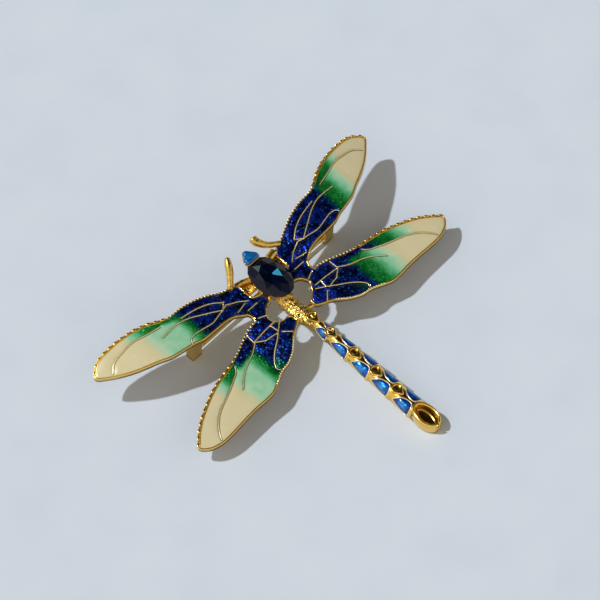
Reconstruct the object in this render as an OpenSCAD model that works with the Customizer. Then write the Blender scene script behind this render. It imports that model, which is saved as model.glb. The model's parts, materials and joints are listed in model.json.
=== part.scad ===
// Dragonfly brooch: a gold-plated casting of four enamelled wings, a thorax with an oval
// stone, a head with two forelegs, and a long tail with small cups and an open end bezel.
// A plain bar pin crosses behind the forewings.
// Shapes are written in the brooch's own frame: x from head to tail, y out along the right
// wings, z up from the plane of the wing tips. The whole is then tipped back on its pin and
// its tail, as it lies on a table.

/* [Wings] */
// Span across the two forewing tips
wing_span = 71.7; // [68:0.1:75]
// Thickness of a wing tray
wing_t = 1.3; // [1.1:0.1:1.8]
// Width of the raised rim
rim_w = 0.55; // [0.45:0.05:0.7]
// Depth of the enamel bed below the rim
bed_depth = 0.6; // [0.4:0.05:0.8]
// Width of a raised vein
vein_w = 0.26; // [0.2:0.02:0.4]
// Height of the beads on the leading edges
bead_h = 0.3; // [0.2:0.05:0.4]
// Spacing of the beads on the leading edges
bead_pitch = 1.2; // [1.1:0.05:1.6]

/* [Stone] */
// Length of the oval stone
stone_l = 9.7; // [9:0.1:10]
// Width of the oval stone
stone_w = 6.4; // [6:0.1:6.6]
// Height of the stone's edge above the wing tips
girdle_z = 3.65; // [3.4:0.05:3.9]
// Height of the crown from the edge to the table
crown_h = 1.1; // [0.8:0.1:1.4]

/* [Tail] */
// Length of the tail from the thorax to its tip
tail_l = 33; // [31:0.5:35]
// Diameter of the hole in a tail cup
cup_hole_d = 1.25; // [1:0.05:1.4]

/* [Pin] */
// Length of the bar
pin_l = 38; // [34:1:40]
// Width of the bar
pin_w = 2.8; // [2.4:0.1:3.2]
// Thickness of the bar
bar_t = 0.9; // [0.7:0.1:1.1]
// Diameter of the stem
stem_d = 0.9; // [0.7:0.1:1.1]
// Depth of the pin's feet below the plane of the wing tips
foot_drop = 6.8; // [6:0.1:7.5]

/* [Hidden] */
gap = 0.04;
gold = "goldenrod";
enamel_blue = "mediumblue";
enamel_green = "mediumseagreen";
RIGHT = 1;
LEFT = -1;

// Forewing sections, one row for each: place along the wing, leading edge, trailing edge, height
fore_rows = [
    [4.6, -3.7, 2.2, 2.25],
    [6.4, -4.4, 2.3, 2.25],
    [8.0, -5.0, 2.0, 2.3],
    [10.0, -5.9, 0.9, 2.8],
    [12.0, -6.7, 0.5, 3.1],
    [15.0, -7.5, 0.4, 3.2],
    [17.5, -7.75, 0.2, 3.2],
    [19.2, -8.05, -0.4, 3.15],
    [22.0, -9.6, -1.0, 3.0],
    [24.0, -10.5, -1.55, 2.8],
    [26.0, -11.1, -2.6, 2.5],
    [28.0, -11.55, -3.55, 2.1],
    [30.0, -11.8, -4.6, 1.6],
    [32.0, -11.9, -5.9, 1.1],
    [34.0, -11.5, -7.55, 0.5],
];
// Forewing tip, in the columns of a place on the outline: x, y, z
fore_tip = [-9.7, 35.85, 0];
// Hindwing sections, in the same columns
hind_rows = [
    [2.2, 7.9, 9.3, 1.9],
    [3.4, 7.0, 10.1, 2.0],
    [5.0, 5.4, 11.0, 2.15],
    [6.5, 4.2, 12.3, 2.2],
    [8.0, 3.8, 13.4, 2.15],
    [10.0, 4.0, 14.2, 1.8],
    [11.9, 4.5, 14.4, 1.5],
    [14.0, 5.35, 15.3, 1.35],
    [16.0, 5.95, 16.1, 1.25],
    [18.0, 6.3, 16.15, 1.1],
    [20.5, 6.7, 15.98, 1.0],
    [23.0, 7.3, 16.0, 0.9],
    [25.5, 8.2, 16.1, 0.75],
    [28.0, 9.3, 16.15, 0.6],
    [30.0, 10.4, 15.9, 0.4],
    [32.0, 11.9, 15.0, 0.15],
];
// Hindwing tip
hind_tip = [13.4, 33.2, 0];
// Small turn of each wing about its root, right and left, because the casting isn't even
fore_sweep = [0.7, -0.7];
hind_sweep = [2, -2];
wing_root = [3, 6];
// Rise of a vein above the rims, and its whole height
vein_rise = 0.02;
vein_h = bed_depth + 0.17;
root_vein_k = 1.2;
// Top of the enamel below the rims at its edge, and how much its middle is domed
enamel_low = 0.12;
enamel_dome = 0.14;

// Long veins of a forewing, each a list of places: x, y
fore_veins = [
    [[-7.4, 21.0], [-8.2, 24.0], [-9.1, 26.6], [-9.2, 29.4], [-8.9, 31.6], [-7.7, 33.1]],
    [[-2.8, 9.3], [-4.2, 11.3], [-5.2, 13.8], [-5.9, 17.3]],
    [[-1.6, 10.6], [-2.6, 12.3], [-3.7, 14.2], [-4.8, 16.2], [-5.6, 18.8], [-5.5, 22.3]],
    [[-1.6, 10.6], [-1.4, 11.8], [-1.0, 13.8], [-1.35, 15.8], [-1.7, 17.8], [-1.45, 19.0], [-0.8, 19.4]],
];
// Long veins of a hindwing
hind_veins = [
    [[7.2, 16.9], [8.2, 17.8], [9.2, 19.8], [10.2, 22.2], [11.1, 24.7], [12.2, 26.6], [13.7, 28.2],
        [15.4, 29.3]],
    [[6.7, 11.0], [7.9, 13.0], [8.8, 15.5], [10.0, 17.5], [11.6, 19.3]],
    [[7.0, 4.6], [8.5, 6.7], [9.5, 8.0], [10.7, 10.0], [12.1, 11.6], [13.2, 12.2], [14.0, 11.9]],
];
// Straight veins at the wing roots: from x and y, to x and y
root_veins = [
    [-2.8, 9.3, -1.6, 10.6],
    [-2.1, 9.4, -1.6, 10.6],
    [-1.2, 7.3, -2.1, 9.4],
    [0.1, 5.7, -1.2, 7.3],
    [0.0, 6.6, 0.6, 9.0],
    [1.5, 4.9, 1.5, 7.3],
    [4.7, 5.3, 3.9, 7.1],
    [6.5, 5.2, 6.7, 11.0],
    [4.7, 10.9, 6.7, 11.0],
    [6.6, 6.6, 8.3, 6.4],
    [6.7, 11.0, 8.1, 9.3],
    [8.1, 9.3, 8.6, 6.9],
    [8.9, 6.0, 10.4, 4.5],
];
// Edge of the bar that joins fore and hind wing and of its arm to the thorax: x, y
bridge_edge = [
    [-3.6, 4.7], [-0.2, 4.7], [0.3, 3.6], [0.5, 2.2], [2.9, 2.2], [3.4, 4.2], [4.9, 5.0],
    [6.5, 4.6], [8.0, 6.0], [8.0, 8.2], [4.2, 8.2], [2.9, 7.7], [1.6, 8.2], [-3.0, 7.6],
];
bridge_z = 2.2;
bridge_mid = 2;
bridge_round = 0.3;
// Line between the enamel of a forewing and of its hindwing, on the vein across the bar
enamel_split = [[1.5, 0], [1.5, 6.9], [2.9, 7.6], [2.9, 40], [-20, 40], [-20, 0]];

// Tail sections: place along the body, half of the width, height
tail_rows = [
    [9.0, 1.5, 1.9],
    [11.0, 1.25, 2.3],
    [12.5, 1.15, 2.4],
    [15.6, 1.4, 2.45],
    [16.4, 1.3, 2.45],
    [20.6, 1.75, 2.5],
    [21.8, 1.6, 2.5],
    [26.2, 1.95, 2.5],
    [27.15, 1.75, 2.5],
    [31.65, 2.0, 2.5],
    [32.7, 1.85, 2.5],
    [37.0, 2.1, 2.5],
    [38.3, 1.95, 2.5],
    [39.0, 1.9, 2.4],
];
// Underside of the tail, and the top of the low wall below its flanks
tail_base = 0.45;
tail_wall = 0.75;
tail_x0 = 10;
tail_k = tail_l / 33;
// Enamel cells of the tail: head end, tail end
tail_cells = [[12.6, 15.5], [16.6, 20.8], [22.1, 26.3], [27.3, 31.5], [32.8, 36.9]];
// Cups on the ridge of the tail: places, radius, height, and the point drawn out behind
cup_x = [10.8, 15.3, 21.5, 26.8, 32.2];
cup_r = 1.0;
cup_z = 2.5;
cup_h = 0.35;
cup_point = 1.6;
cup_point_r = 0.25;
cup_depth = 0.45;
// Tilt of the flanks, and height and distance from which a cell's flat bed is measured
flank_tilt = 42;
cell_z = 0.6;
cell_floor = 1.15;
// Corners of a cell at its head end and its tail end: radius, and places across the flank
cell_head_r = 0.45;
cell_head_y = [-0.4, 0.6];
cell_tail_r = 0.75;
cell_tail_y = [-0.25, 0.45];
// End bezel: middle, half of its length, half of its width, height
bezel_x = 40.3;
bezel_a = 2.6;
bezel_b = 2.05;
bezel_h = 2.7;
bezel_wall = 0.5;
bezel_draft = 0.1;
bezel_depth = 1.7;
// Slot that splits the bezel at the end of the tail
slot_w = 0.5;
slot_depth = 1.2;

// Band below the stone's edge: its height, and how far it narrows
girdle_t = 0.25;
girdle_in = 0.92;

// Round openings beside the ridge of the thorax
opening_c = [5.3, 3.2];
opening_r = 2.05;

// Ridge sections: place along the body, half of the width, height
ridge_rows = [
    [3.0, 1.1, 2.6],
    [5.0, 1.1, 2.2],
    [7.0, 1.1, 2.1],
    [8.6, 1.5, 2.1],
    [10.4, 1.4, 2.2],
    [12.4, 1.2, 2.3],
];
ridge_base = 0.4;
ridge_wall = 0.6;
// Rough lumps on the ridge: number, place of the first, spacing, size, height
lumps = 11;
lump_x = 4.3;
lump_step = 0.75;
lump_d = 1.1;
lump_z = 2.05;
// Web from the ridge to the hindwings: its front edge, its width, half of its span, underside, thickness
web_x = 7.5;
web_w = 2.1;
web_b = 2.7;
web_z = 0.6;
web_t = 0.6;

// Forelegs, right and left: x, y, z
right_leg = [[-4.5, 6.7, 2.3], [-5, 5.5, 2.8], [-5.65, 4.45, 3.3], [-6.9, 3.4, 4], [-8, 3.3, 4.5]];
left_leg = [[-4.15, -6.2, 2.3], [-5.9, -4.5, 3.5], [-7.2, -3.6, 4.1], [-8.1, -2.9, 4.4]];
leg_d = 1.0;
// Arms from the forewings to the cup of the stone, in front
arm_out = [-3.9, 5.2];
arm_in = [-3.0, 1.8];
arm_d = 0.8;

// Head: x of the base and of the tip, half of its width, height of its top and of its enamel
head_x = -4.5;
head_tip_x = -6.95;
head_b = 1.75;
head_z = 5.1;
head_cap = 0.5;
head_tip_r = 0.45;
head_corner_r = 0.5;
// Neck that carries the head in front of the stone, and its foot in the stone's cup
neck_x = -5.65;
neck_r = 0.6;
neck_z = 2.0;
neck_foot = [-4.1, 0, 1.6];

// Pin: its place along the body, the top of its bar, and pads that seat the bar: places, diameter
pin_x = -2.65;
bar_z = 0.85;
pad_y = [9, 14];
pad_d = 2.2;
// Feet of the pin: distance from the ends of the bar, width, half widths at the top and the table
foot_in = 1.6;
foot_w = 2.2;
foot_top = 1.3;
foot_sole = 0.95;
// Middle of the stem above the soles
stem_rise = 1.3;
tail_foot_x = tail_x0 + (bezel_x - tail_x0) * tail_k + bezel_a - bezel_draft;
pitch = atan(foot_drop / (tail_foot_x - pin_x));
// Place of the brooch's own frame: centred over its box, and on the table
rest_x = -15.2;
rest_y = 0.16;
rest_z = foot_drop * cos(pitch) + pin_x * sin(pitch);
span_k = wing_span / (2 * fore_tip[1]);

// Smooth curve through q and r, with p before and s after, at the part f between them
function spline(p, q, r, s, f) =
    0.5 * (2 * q + (r - p) * f + (2 * p - 5 * q + 4 * r - s) * f * f + (3 * q - p - 3 * r + s) * pow(f, 3));
function pick(list, i) = list[max(0, min(len(list) - 1, i))];
// Point at t on the smooth curve through a list, where t counts its points
function along(list, t) =
    let (i = max(0, min(floor(t), len(list) - 2)))
    spline(pick(list, i - 1), list[i], list[i + 1], pick(list, i + 2), t - i);
function speed(list, t) = norm(along(list, t + 0.02) - along(list, t - 0.02)) / 0.04;
// Places along a curve at even steps
function steps(list, t, t_end, step) =
    t >= t_end ? [] : concat([t], steps(list, t + step / speed(list, t), t_end, step));

// Outline of a wing: out along the leading edge, round the tip and back along the trailing edge
function outline(rows, tip) = concat(
    [for (r = rows) [r[1], r[0] * span_k, r[3]]],
    [[tip[0], tip[1] * span_k, tip[2]]],
    [for (i = [len(rows) - 1 : -1 : 0]) [rows[i][2], rows[i][0] * span_k, rows[i][3]]]);
// Point of the outline at t, moved inwards
function inset(edge, t, w) =
    let (p = along(edge, t), d = along(edge, t + 0.02) - along(edge, t - 0.02), n = norm([d[0], d[1]]))
    [p[0] + w * d[1] / n, p[1] - w * d[0] / n, p[2]];
function height(rows, y) = lookup(y / span_k, [for (r = rows) [r[0], r[3]]]);
// Height of the root veins, which belong to the forewing before bridge_mid and to the hindwing behind it
function root_height(x, y) = height(x < bridge_mid ? fore_rows : hind_rows, y);

// Closed solid whose sections are rings of equal length
module loft(rings) {
    n = len(rings[0]);
    m = len(rings);
    points = [for (r = rings) each r];
    sides = [
        for (i = [0 : m - 2], j = [0 : n - 1])
            let (a = i * n + j, b = i * n + (j + 1) % n)
            each [[a, b + n, b], [a, a + n, b + n]]
    ];
    near = [for (j = [1 : n - 2]) [0, j, j + 1]];
    far = [for (j = [1 : n - 2]) [(m - 1) * n, (m - 1) * n + j + 1, (m - 1) * n + j]];
    polyhedron(points, concat(sides, near, far), convexity = 8);
}

// Slab with the outline of a wing, inset by w, between two heights measured from the rim's top.
// A domed slab is higher along its middle. A beaded one has its leading edge in beads.
module wing_slab(rows, tip, w, low, high, dome = 0, beaded = false) {
    edge = outline(rows, tip);
    n = len(rows);
    last = n - 0.15 - 0.1 * w;
    places = concat(beaded ? steps(edge, 0, last, bead_pitch / 2) : [for (k = [0 : n - 1]) k], [last]);
    cross = dome > 0 ? 2 : 1;
    loft([
        for (k = [0 : len(places) - 1])
            let (
                t = places[k],
                bead = beaded && t > 2 ? bead_h * (k % 2 - 0.5) : 0,
                a = inset(edge, t, w - bead) + [0, 0, bead],
                b = inset(edge, 2 * n - t, w))
            concat(
                [for (j = [0 : cross])
                    let (p = a + (b - a) * j / cross, c = 2 * j / cross - 1)
                    p + [0, 0, high + dome * (1 - c * c)]],
                [b + [0, 0, low], a + [0, 0, low]])
    ]);
}

// Raised vein along a path, as a strip that follows the wing's height
module vein(path, rows, w) {
    n = len(path);
    loft([
        for (i = [0 : n - 1])
            let (
                d = pick(path, i + 1) - pick(path, i - 1),
                side = [-d[1], d[0]] * w / (2 * norm(d)),
                top = height(rows, path[i][1]) + vein_rise)
            [for (e = [[1, 1], [-1, 1], [-1, 0], [1, 0]])
                [path[i][0] + e[0] * side[0], path[i][1] + e[0] * side[1], top - (1 - e[1]) * vein_h]]
    ]);
}

module long_veins(paths, rows, w) {
    for (path = paths)
        vein([for (p = path) [p[0], p[1] * span_k]], rows, w);
}

module short_veins(w) {
    for (v = root_veins)
        hull()
            for (p = [[v[0], v[1]], [v[2], v[3]]])
                translate([p[0], p[1], root_height(p[0], p[1]) + vein_rise - vein_h])
                    cylinder(d = w * root_vein_k, h = vein_h, $fn = 4);
}

module side(s) {
    if (s == RIGHT) children();
    else mirror([0, 1, 0]) children();
}

module swept(angle) {
    translate([wing_root[0], wing_root[1], 0])
        rotate(angle)
            translate([-wing_root[0], -wing_root[1], 0])
                children();
}

function sweep(angles, s) = s == RIGHT ? angles[0] : angles[1];

module bridge_slab(w, low, high) {
    translate([0, 0, bridge_z + low])
        linear_extrude(high - low)
            offset(r = bridge_round)
                offset(delta = -bridge_round - w)
                    polygon(bridge_edge);
}

// All that is cut or filled for the enamel of one side
module bed(s, w, low, high, dome = 0, beaded = false) {
    swept(sweep(fore_sweep, s)) wing_slab(fore_rows, fore_tip, w, low, high, dome, beaded);
    swept(sweep(hind_sweep, s)) wing_slab(hind_rows, hind_tip, w, low, high, dome, beaded);
    bridge_slab(w, low, high);
}

module side_veins(s, w) {
    swept(sweep(fore_sweep, s)) long_veins(fore_veins, fore_rows, w);
    swept(sweep(hind_sweep, s)) long_veins(hind_veins, hind_rows, w);
    short_veins(w);
}

module wing_pair(s) {
    difference() {
        bed(s, 0, -wing_t, 0, beaded = true);
        difference() {
            bed(s, rim_w, -bed_depth, 1);
            opening(rim_w);
        }
        opening(0);
    }
    side_veins(s, vein_w);
}

module enamel_side(s) {
    difference() {
        bed(s, rim_w + gap, gap - bed_depth, -enamel_low, enamel_dome);
        side_veins(s, vein_w + 2 * gap);
        opening(rim_w + gap);
    }
}

module enamel_wing(s, front) {
    color(front ? enamel_green : enamel_blue)
        lie()
            side(s)
                if (front)
                    intersection() {
                        enamel_side(s);
                        split_block(0);
                    }
                else
                    difference() {
                        enamel_side(s);
                        split_block(gap);
                    }
}

module split_block(w) {
    translate([0, 0, -2])
        linear_extrude(8)
            offset(delta = w)
                polygon(enamel_split);
}

// One round opening of the thorax, on the right, grown by w
module opening(w) {
    translate([opening_c[0], opening_c[1], -3])
        cylinder(r = opening_r + w, h = 9, $fn = 28);
}

function tail_at(x) = tail_x0 + (x - tail_x0) * tail_k;
// Section at x, half_w to each side: a low wall, and flanks up to a rounded crest
function dome_ring(x, half_w, h, base = 0, wall = 0) = concat(
    [[x, half_w, base]],
    [for (k = [0 : 8]) [x, half_w * cos(22.5 * k), wall + (h - wall) * pow(sin(22.5 * k), 0.85)]],
    [[x, -half_w, base]]);

module tail_body(w) {
    loft([for (row = tail_rows) dome_ring(tail_at(row[0]), row[1] + w, row[2] + w, tail_base, tail_wall)]);
}

// Prism through the flank of the tail with the outline of one cell
module cell_prism(s, x0, x1, w) {
    half = (x1 - x0) * tail_k / 2;
    translate([tail_at((x0 + x1) / 2), 0, cell_z])
        rotate([-s * flank_tilt, 0, 0])
            translate([0, 0, cell_floor + w])
                linear_extrude(3)
                    hull() {
                        for (v = cell_head_y)
                            translate([cell_head_r - half, s * v])
                                circle(r = cell_head_r - w, $fn = 6);
                        for (v = cell_tail_y)
                            translate([half - cell_tail_r, s * v])
                                circle(r = cell_tail_r - w, $fn = 8);
                    }
}

// Prisms through all the cells, inset by w and w above their beds
module cell_prisms(w) {
    for (s = [RIGHT, LEFT], cell = tail_cells)
        cell_prism(s, cell[0], cell[1], w);
}

// Outside of a small cup on the ridge, drawn out to a point towards the tail
module cup_outside(x, w) {
    translate([tail_at(x), 0, cup_z])
        hull() {
            translate([0, 0, -1]) cylinder(r = cup_r * 1.1 + w, h = 0.5, $fn = 10);
            cylinder(r = cup_r * 0.92 + w, h = cup_h, $fn = 10);
            translate([cup_point, 0, -0.6]) cylinder(r = cup_point_r + w, h = 0.7, $fn = 6);
        }
}

module cup(x) {
    difference() {
        cup_outside(x, 0);
        translate([tail_at(x), 0, cup_z - cup_depth])
            cylinder(d1 = cup_hole_d * 0.7, d2 = cup_hole_d, h = 2 * cup_depth, $fn = 10);
    }
}

// Oval prism of the end bezel, inset by w at its foot and at its top
module bezel_oval(foot_w, top_w, h) {
    disc = 0.1;
    hull() {
        scale([bezel_a - foot_w, bezel_b - foot_w, 1])
            cylinder(r = 1, h = disc, $fn = 24);
        translate([0, 0, h - disc])
            scale([bezel_a - top_w, bezel_b - top_w, 1])
                cylinder(r = 1, h = disc, $fn = 24);
    }
}

module tail() {
    difference() {
        union() {
            tail_body(0);
            translate([tail_at(bezel_x), 0, 0]) bezel_oval(bezel_draft, 0.15, bezel_h);
        }
        cell_prisms(0);
        translate([tail_at(bezel_x), 0, bezel_h - bezel_depth]) bezel_oval(1.1, bezel_wall, 2.2);
        translate([tail_at(bezel_x) + bezel_a - 0.9, -slot_w / 2, bezel_h - slot_depth]) cube([2, slot_w, 3]);
    }
    for (x = cup_x) cup(x);
}

// Cup under the stone, open for its pavilion
module stone_cup() {
    k = stone_w / stone_l;
    foot_z = 0.9;
    foot_in = 0.9;
    lip_in = 0.12;
    lip_w = 0.23;
    lip_z = girdle_z - girdle_t - gap;
    seat_r = 1.9;
    seat_depth = 1.4;
    difference() {
        translate([0, 0, foot_z])
            scale([1, k, 1])
                cylinder(r1 = stone_l / 2 - foot_in, r2 = stone_l / 2 - lip_in,
                    h = lip_z - foot_z, $fn = 24);
        translate([0, 0, lip_z - seat_depth])
            scale([1, k, 1])
                cylinder(r1 = seat_r, r2 = stone_l / 2 - lip_in - lip_w, h = seat_depth, $fn = 24);
    }
}

module front_arms() {
    for (s = [RIGHT, LEFT])
        hull()
            for (p = [arm_out, arm_in])
                translate([p[0], s * p[1], bridge_z - 1.1])
                    cylinder(d = arm_d, h = 1, $fn = 8);
}

module leg(path) {
    for (i = [0 : len(path) - 2])
        hull() {
            translate(path[i]) sphere(d = leg_d, $fn = 6);
            translate(path[i + 1]) sphere(d = leg_d, $fn = 6);
        }
}

// Ridge between the openings, web to the hindwings and the rough lumps on them
module ridge() {
    loft([for (row = ridge_rows) dome_ring(row[0], row[1], row[2], ridge_base, ridge_wall)]);
    translate([web_x, -web_b, web_z]) cube([web_w, 2 * web_b, web_t]);
    for (i = [0 : lumps - 1])
        translate([lump_x + i * lump_step, lump_step * sin(i * 137), lump_z + 0.15 * cos(i * 99)])
            rotate([i * 31, i * 47, 0])
                sphere(d = lump_d + 0.3 * sin(i * 73), $fn = 5);
}

// Outline of the head from above, grown by w
module head_outline(w) {
    hull() {
        translate([head_tip_x + head_tip_r, 0]) circle(r = head_tip_r + w, $fn = 16);
        for (s = [RIGHT, LEFT])
            translate([head_x - 0.2, s * (head_b - head_corner_r)]) circle(r = head_corner_r + w, $fn = 16);
    }
}

module head() {
    plate = 0.4;
    plate_z = head_z - head_cap - plate;
    translate([0, 0, plate_z])
        linear_extrude(plate)
            head_outline(0);
    translate([neck_x, 0, neck_z])
        cylinder(r1 = neck_r, r2 = neck_r * 1.1, h = plate_z - neck_z + plate / 2, $fn = 16);
    hull()
        for (p = [[neck_x, 0, neck_z], neck_foot])
            translate(p)
                cylinder(r = neck_r, h = 0.8, $fn = 16);
}

// Tips the brooch back as it lies on a table
module lie() {
    translate([rest_x, rest_y, rest_z])
        rotate([0, pitch, 0])
            children();
}

module frame() {
    color(gold)
        lie() {
            side(RIGHT) wing_pair(RIGHT);
            side(LEFT) wing_pair(LEFT);
            ridge();
            stone_cup();
            front_arms();
            tail();
            head();
            leg(right_leg);
            leg(left_leg);
            pads();
        }
}

// Pads behind the forewings, where the bar of the pin is seated
module pads() {
    for (s = [RIGHT, LEFT], y = pad_y)
        translate([pin_x, s * y, bar_z])
            cylinder(d = pad_d, h = height(fore_rows, y) - wing_t - bar_z + 0.3, $fn = 16);
}

module enamel_forewing_right() { enamel_wing(RIGHT, true); }
module enamel_forewing_left() { enamel_wing(LEFT, true); }
module enamel_hindwing_right() { enamel_wing(RIGHT, false); }
module enamel_hindwing_left() { enamel_wing(LEFT, false); }

module enamel_tail() {
    color(enamel_blue)
        lie()
            difference() {
                intersection() {
                    cell_prisms(gap);
                    tail_body(0.05);
                }
                for (x = cup_x) cup_outside(x, gap);
            }
}

module enamel_head() {
    color(enamel_blue)
        lie()
            hull() {
                translate([0, 0, head_z - head_cap + gap]) linear_extrude(0.2) head_outline(-0.05);
                translate([0, 0, head_z - 0.1]) linear_extrude(0.1) head_outline(-0.35);
            }
}

// Oval stone: girdle of 16 sides, crown with a table of 8, pavilion of 8
module oval_stone() {
    table_r = 0.52;
    mid_r = 0.8;
    mid_z = crown_h * (1 - (mid_r * cos(22.5) - table_r) / (1 - table_r));
    culet_r = 0.42;
    pavilion_h = 1.2;
    function ring(n, r, z, turn) =
        [for (i = [0 : n - 1]) let (a = turn + i * 360 / n) [r * cos(a), r * sin(a), z]];
    points = concat(
        ring(8, table_r, crown_h, 0), ring(8, mid_r, mid_z, 22.5),
        ring(16, 1, 0, 0), ring(16, girdle_in, -girdle_t, 0), ring(8, culet_r, -pavilion_h, 0));
    table = [[7, 6, 5, 4, 3, 2, 1, 0]];
    crown = [for (i = [0 : 7])
        let (n = (i + 1) % 8, m = 8 + i, m0 = 8 + (i + 7) % 8,
            g = 16 + 2 * i, g1 = g + 1, g2 = 16 + (2 * i + 2) % 16)
        each [[i, n, m], [i, m, g], [m0, i, g], [m, g1, g], [m, g2, g1]]];
    girdle = [for (i = [0 : 15])
        let (a = 16 + i, b = 16 + (i + 1) % 16)
        each [[a, b, b + 16], [a, b + 16, a + 16]]];
    pavilion = [for (i = [0 : 7])
        let (c = 48 + i, d = 48 + (i + 1) % 8, g = 32 + 2 * i, g1 = g + 1, g2 = 32 + (2 * i + 2) % 16)
        each [[g, g1, c], [g1, d, c], [g1, g2, d]]];
    culet = [[48, 49, 50, 51, 52, 53, 54, 55]];
    color("midnightblue")
        lie()
            translate([0, 0, girdle_z])
                scale([stone_l / 2, stone_w / 2, 1])
                    polyhedron(points, concat(table, crown, girdle, pavilion, culet));
}

// Side view of a foot of the pin, flat where it stands on the table
module foot(y) {
    top = bar_z - bar_t / 2;
    sole = [for (x = [foot_sole, -foot_sole]) [pin_x + x, -foot_drop + x * tan(pitch)]];
    translate([0, y + foot_w / 2, 0])
        rotate([90, 0, 0])
            linear_extrude(foot_w)
                polygon(concat([[pin_x - foot_top, top], [pin_x + foot_top, top]], sole));
}

module pin_back() {
    foot_y = pin_l / 2 - foot_in;
    color("darkgoldenrod")
        lie() {
            translate([pin_x - pin_w / 2, pin_w / 2 - pin_l / 2, bar_z - bar_t - gap])
                cube([pin_w, pin_l - pin_w, bar_t]);
            for (y = [1, -1])
                translate([pin_x, y * (pin_l - pin_w) / 2, bar_z - bar_t - gap])
                    cylinder(d = pin_w, h = bar_t, $fn = 32);
            foot(foot_y);
            foot(-foot_y);
            translate([pin_x, foot_y, stem_rise - foot_drop])
                rotate([90, 0, 0])
                    cylinder(d = stem_d, h = 2 * foot_y, $fn = 24);
        }
}

frame();
enamel_forewing_right();
enamel_forewing_left();
enamel_hindwing_right();
enamel_hindwing_left();
enamel_tail();
enamel_head();
oval_stone();
pin_back();
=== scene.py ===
# %% [markdown]
# # A dragonfly brooch in cast metal and enamel
# The real brooch is a gold-plated zinc casting. Four shallow trays make the wings, raised wires
# part them into cells, and coloured enamel fills the cells. An oval crystal sits on the thorax,
# and the tail is a half-round bar with enamel on its flanks. This lesson builds the surfaces at
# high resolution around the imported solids, from the same short tables, and then finishes them.

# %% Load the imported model
import json
import math

import bpy
import numpy as np
from mathutils import Matrix, Vector, geometry, kdtree, noise

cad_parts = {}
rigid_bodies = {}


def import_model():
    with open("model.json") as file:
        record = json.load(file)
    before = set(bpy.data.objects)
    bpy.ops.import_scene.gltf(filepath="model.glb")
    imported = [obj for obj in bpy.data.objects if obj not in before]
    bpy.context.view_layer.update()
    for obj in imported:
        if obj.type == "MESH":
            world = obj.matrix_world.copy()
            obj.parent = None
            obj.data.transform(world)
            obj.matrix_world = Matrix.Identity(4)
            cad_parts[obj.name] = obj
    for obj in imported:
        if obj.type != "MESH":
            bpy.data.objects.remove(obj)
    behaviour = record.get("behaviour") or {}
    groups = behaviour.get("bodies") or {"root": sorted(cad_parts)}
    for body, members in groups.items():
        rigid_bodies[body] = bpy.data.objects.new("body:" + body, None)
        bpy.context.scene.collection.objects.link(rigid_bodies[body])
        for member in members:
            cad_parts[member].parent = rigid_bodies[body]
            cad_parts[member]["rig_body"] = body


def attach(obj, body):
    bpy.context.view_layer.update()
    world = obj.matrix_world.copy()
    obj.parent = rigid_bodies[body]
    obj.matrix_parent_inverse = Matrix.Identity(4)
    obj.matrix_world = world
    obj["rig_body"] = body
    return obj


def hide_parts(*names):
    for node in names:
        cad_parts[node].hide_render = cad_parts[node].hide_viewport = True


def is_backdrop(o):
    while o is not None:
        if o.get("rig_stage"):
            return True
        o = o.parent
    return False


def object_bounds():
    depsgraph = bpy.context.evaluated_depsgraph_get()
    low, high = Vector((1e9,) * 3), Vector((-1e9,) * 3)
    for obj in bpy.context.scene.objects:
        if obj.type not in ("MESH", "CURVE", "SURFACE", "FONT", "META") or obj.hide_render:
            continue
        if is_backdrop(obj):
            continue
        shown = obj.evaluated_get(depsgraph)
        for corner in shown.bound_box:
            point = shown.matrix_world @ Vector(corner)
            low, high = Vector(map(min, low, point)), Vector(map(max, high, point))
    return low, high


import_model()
cad_low, cad_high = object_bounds()
MM = 0.001
RIGHT = 1
LEFT = -1
SIDES = {"right": RIGHT, "left": LEFT}
print("CAD box in mm:", [round(v / MM, 1) for v in (cad_high - cad_low)])

# %% [markdown]
# ## Where the brooch lies
# All tables are in millimetres, in the brooch's own frame: x from head to tail, y out along the
# right wings, z up from the plane of the wing tips. One function tips the brooch back on its pin
# and its tail, as it lies on the table, and turns millimetres into metres. Keeping one such
# function means that every other number can be read off the flat brooch.

# %% The brooch's own frame
# How far the feet of the pin reach down, where the pin and the tail's end lie, and the place of
# the resting brooch over the table's middle
FOOT_DROP = 6.8
PIN_X = -2.65
TAIL_END = 42.8
PITCH = math.atan(FOOT_DROP / (TAIL_END - PIN_X))
REST = (-15.2, 0.16, FOOT_DROP * math.cos(PITCH) + PIN_X * math.sin(PITCH))


def lie(points):
    """Points of the flat brooch in millimetres, as it lies on the table, in metres."""
    x, y, z = np.asarray(points, float).T
    c, s = math.cos(PITCH), math.sin(PITCH)
    return MM * np.stack([c * x + s * z + REST[0], y + REST[1], c * z - s * x + REST[2]], axis=1)


print("tipped back by", round(math.degrees(PITCH), 2), "degrees")

# %% [markdown]
# ## The camera
# The photo was taken from far away with a long lens, because parallel edges stay parallel in
# it. The view is given by the turn of the brooch in the picture and by the camera's height over
# the wing plane. Three unit vectors, to the right, up and back, are worked out on the flat
# brooch and then tipped with it.

# %% Camera
# Millimetres across the picture, lens and sensor in millimetres, and the point looked at
TURN = math.radians(44.4)
HEIGHT = math.radians(60.7)
VIEW_WIDTH = 110.5
LENS = 250
SENSOR = 36
AIM = (5.85, 1.92, 0.0)


def tip(vector):
    """Direction on the flat brooch, as it lies on the table."""
    x, y, z = vector
    c, s = math.cos(PITCH), math.sin(PITCH)
    return Vector((c * x + s * z, y, c * z - s * x))


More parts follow.
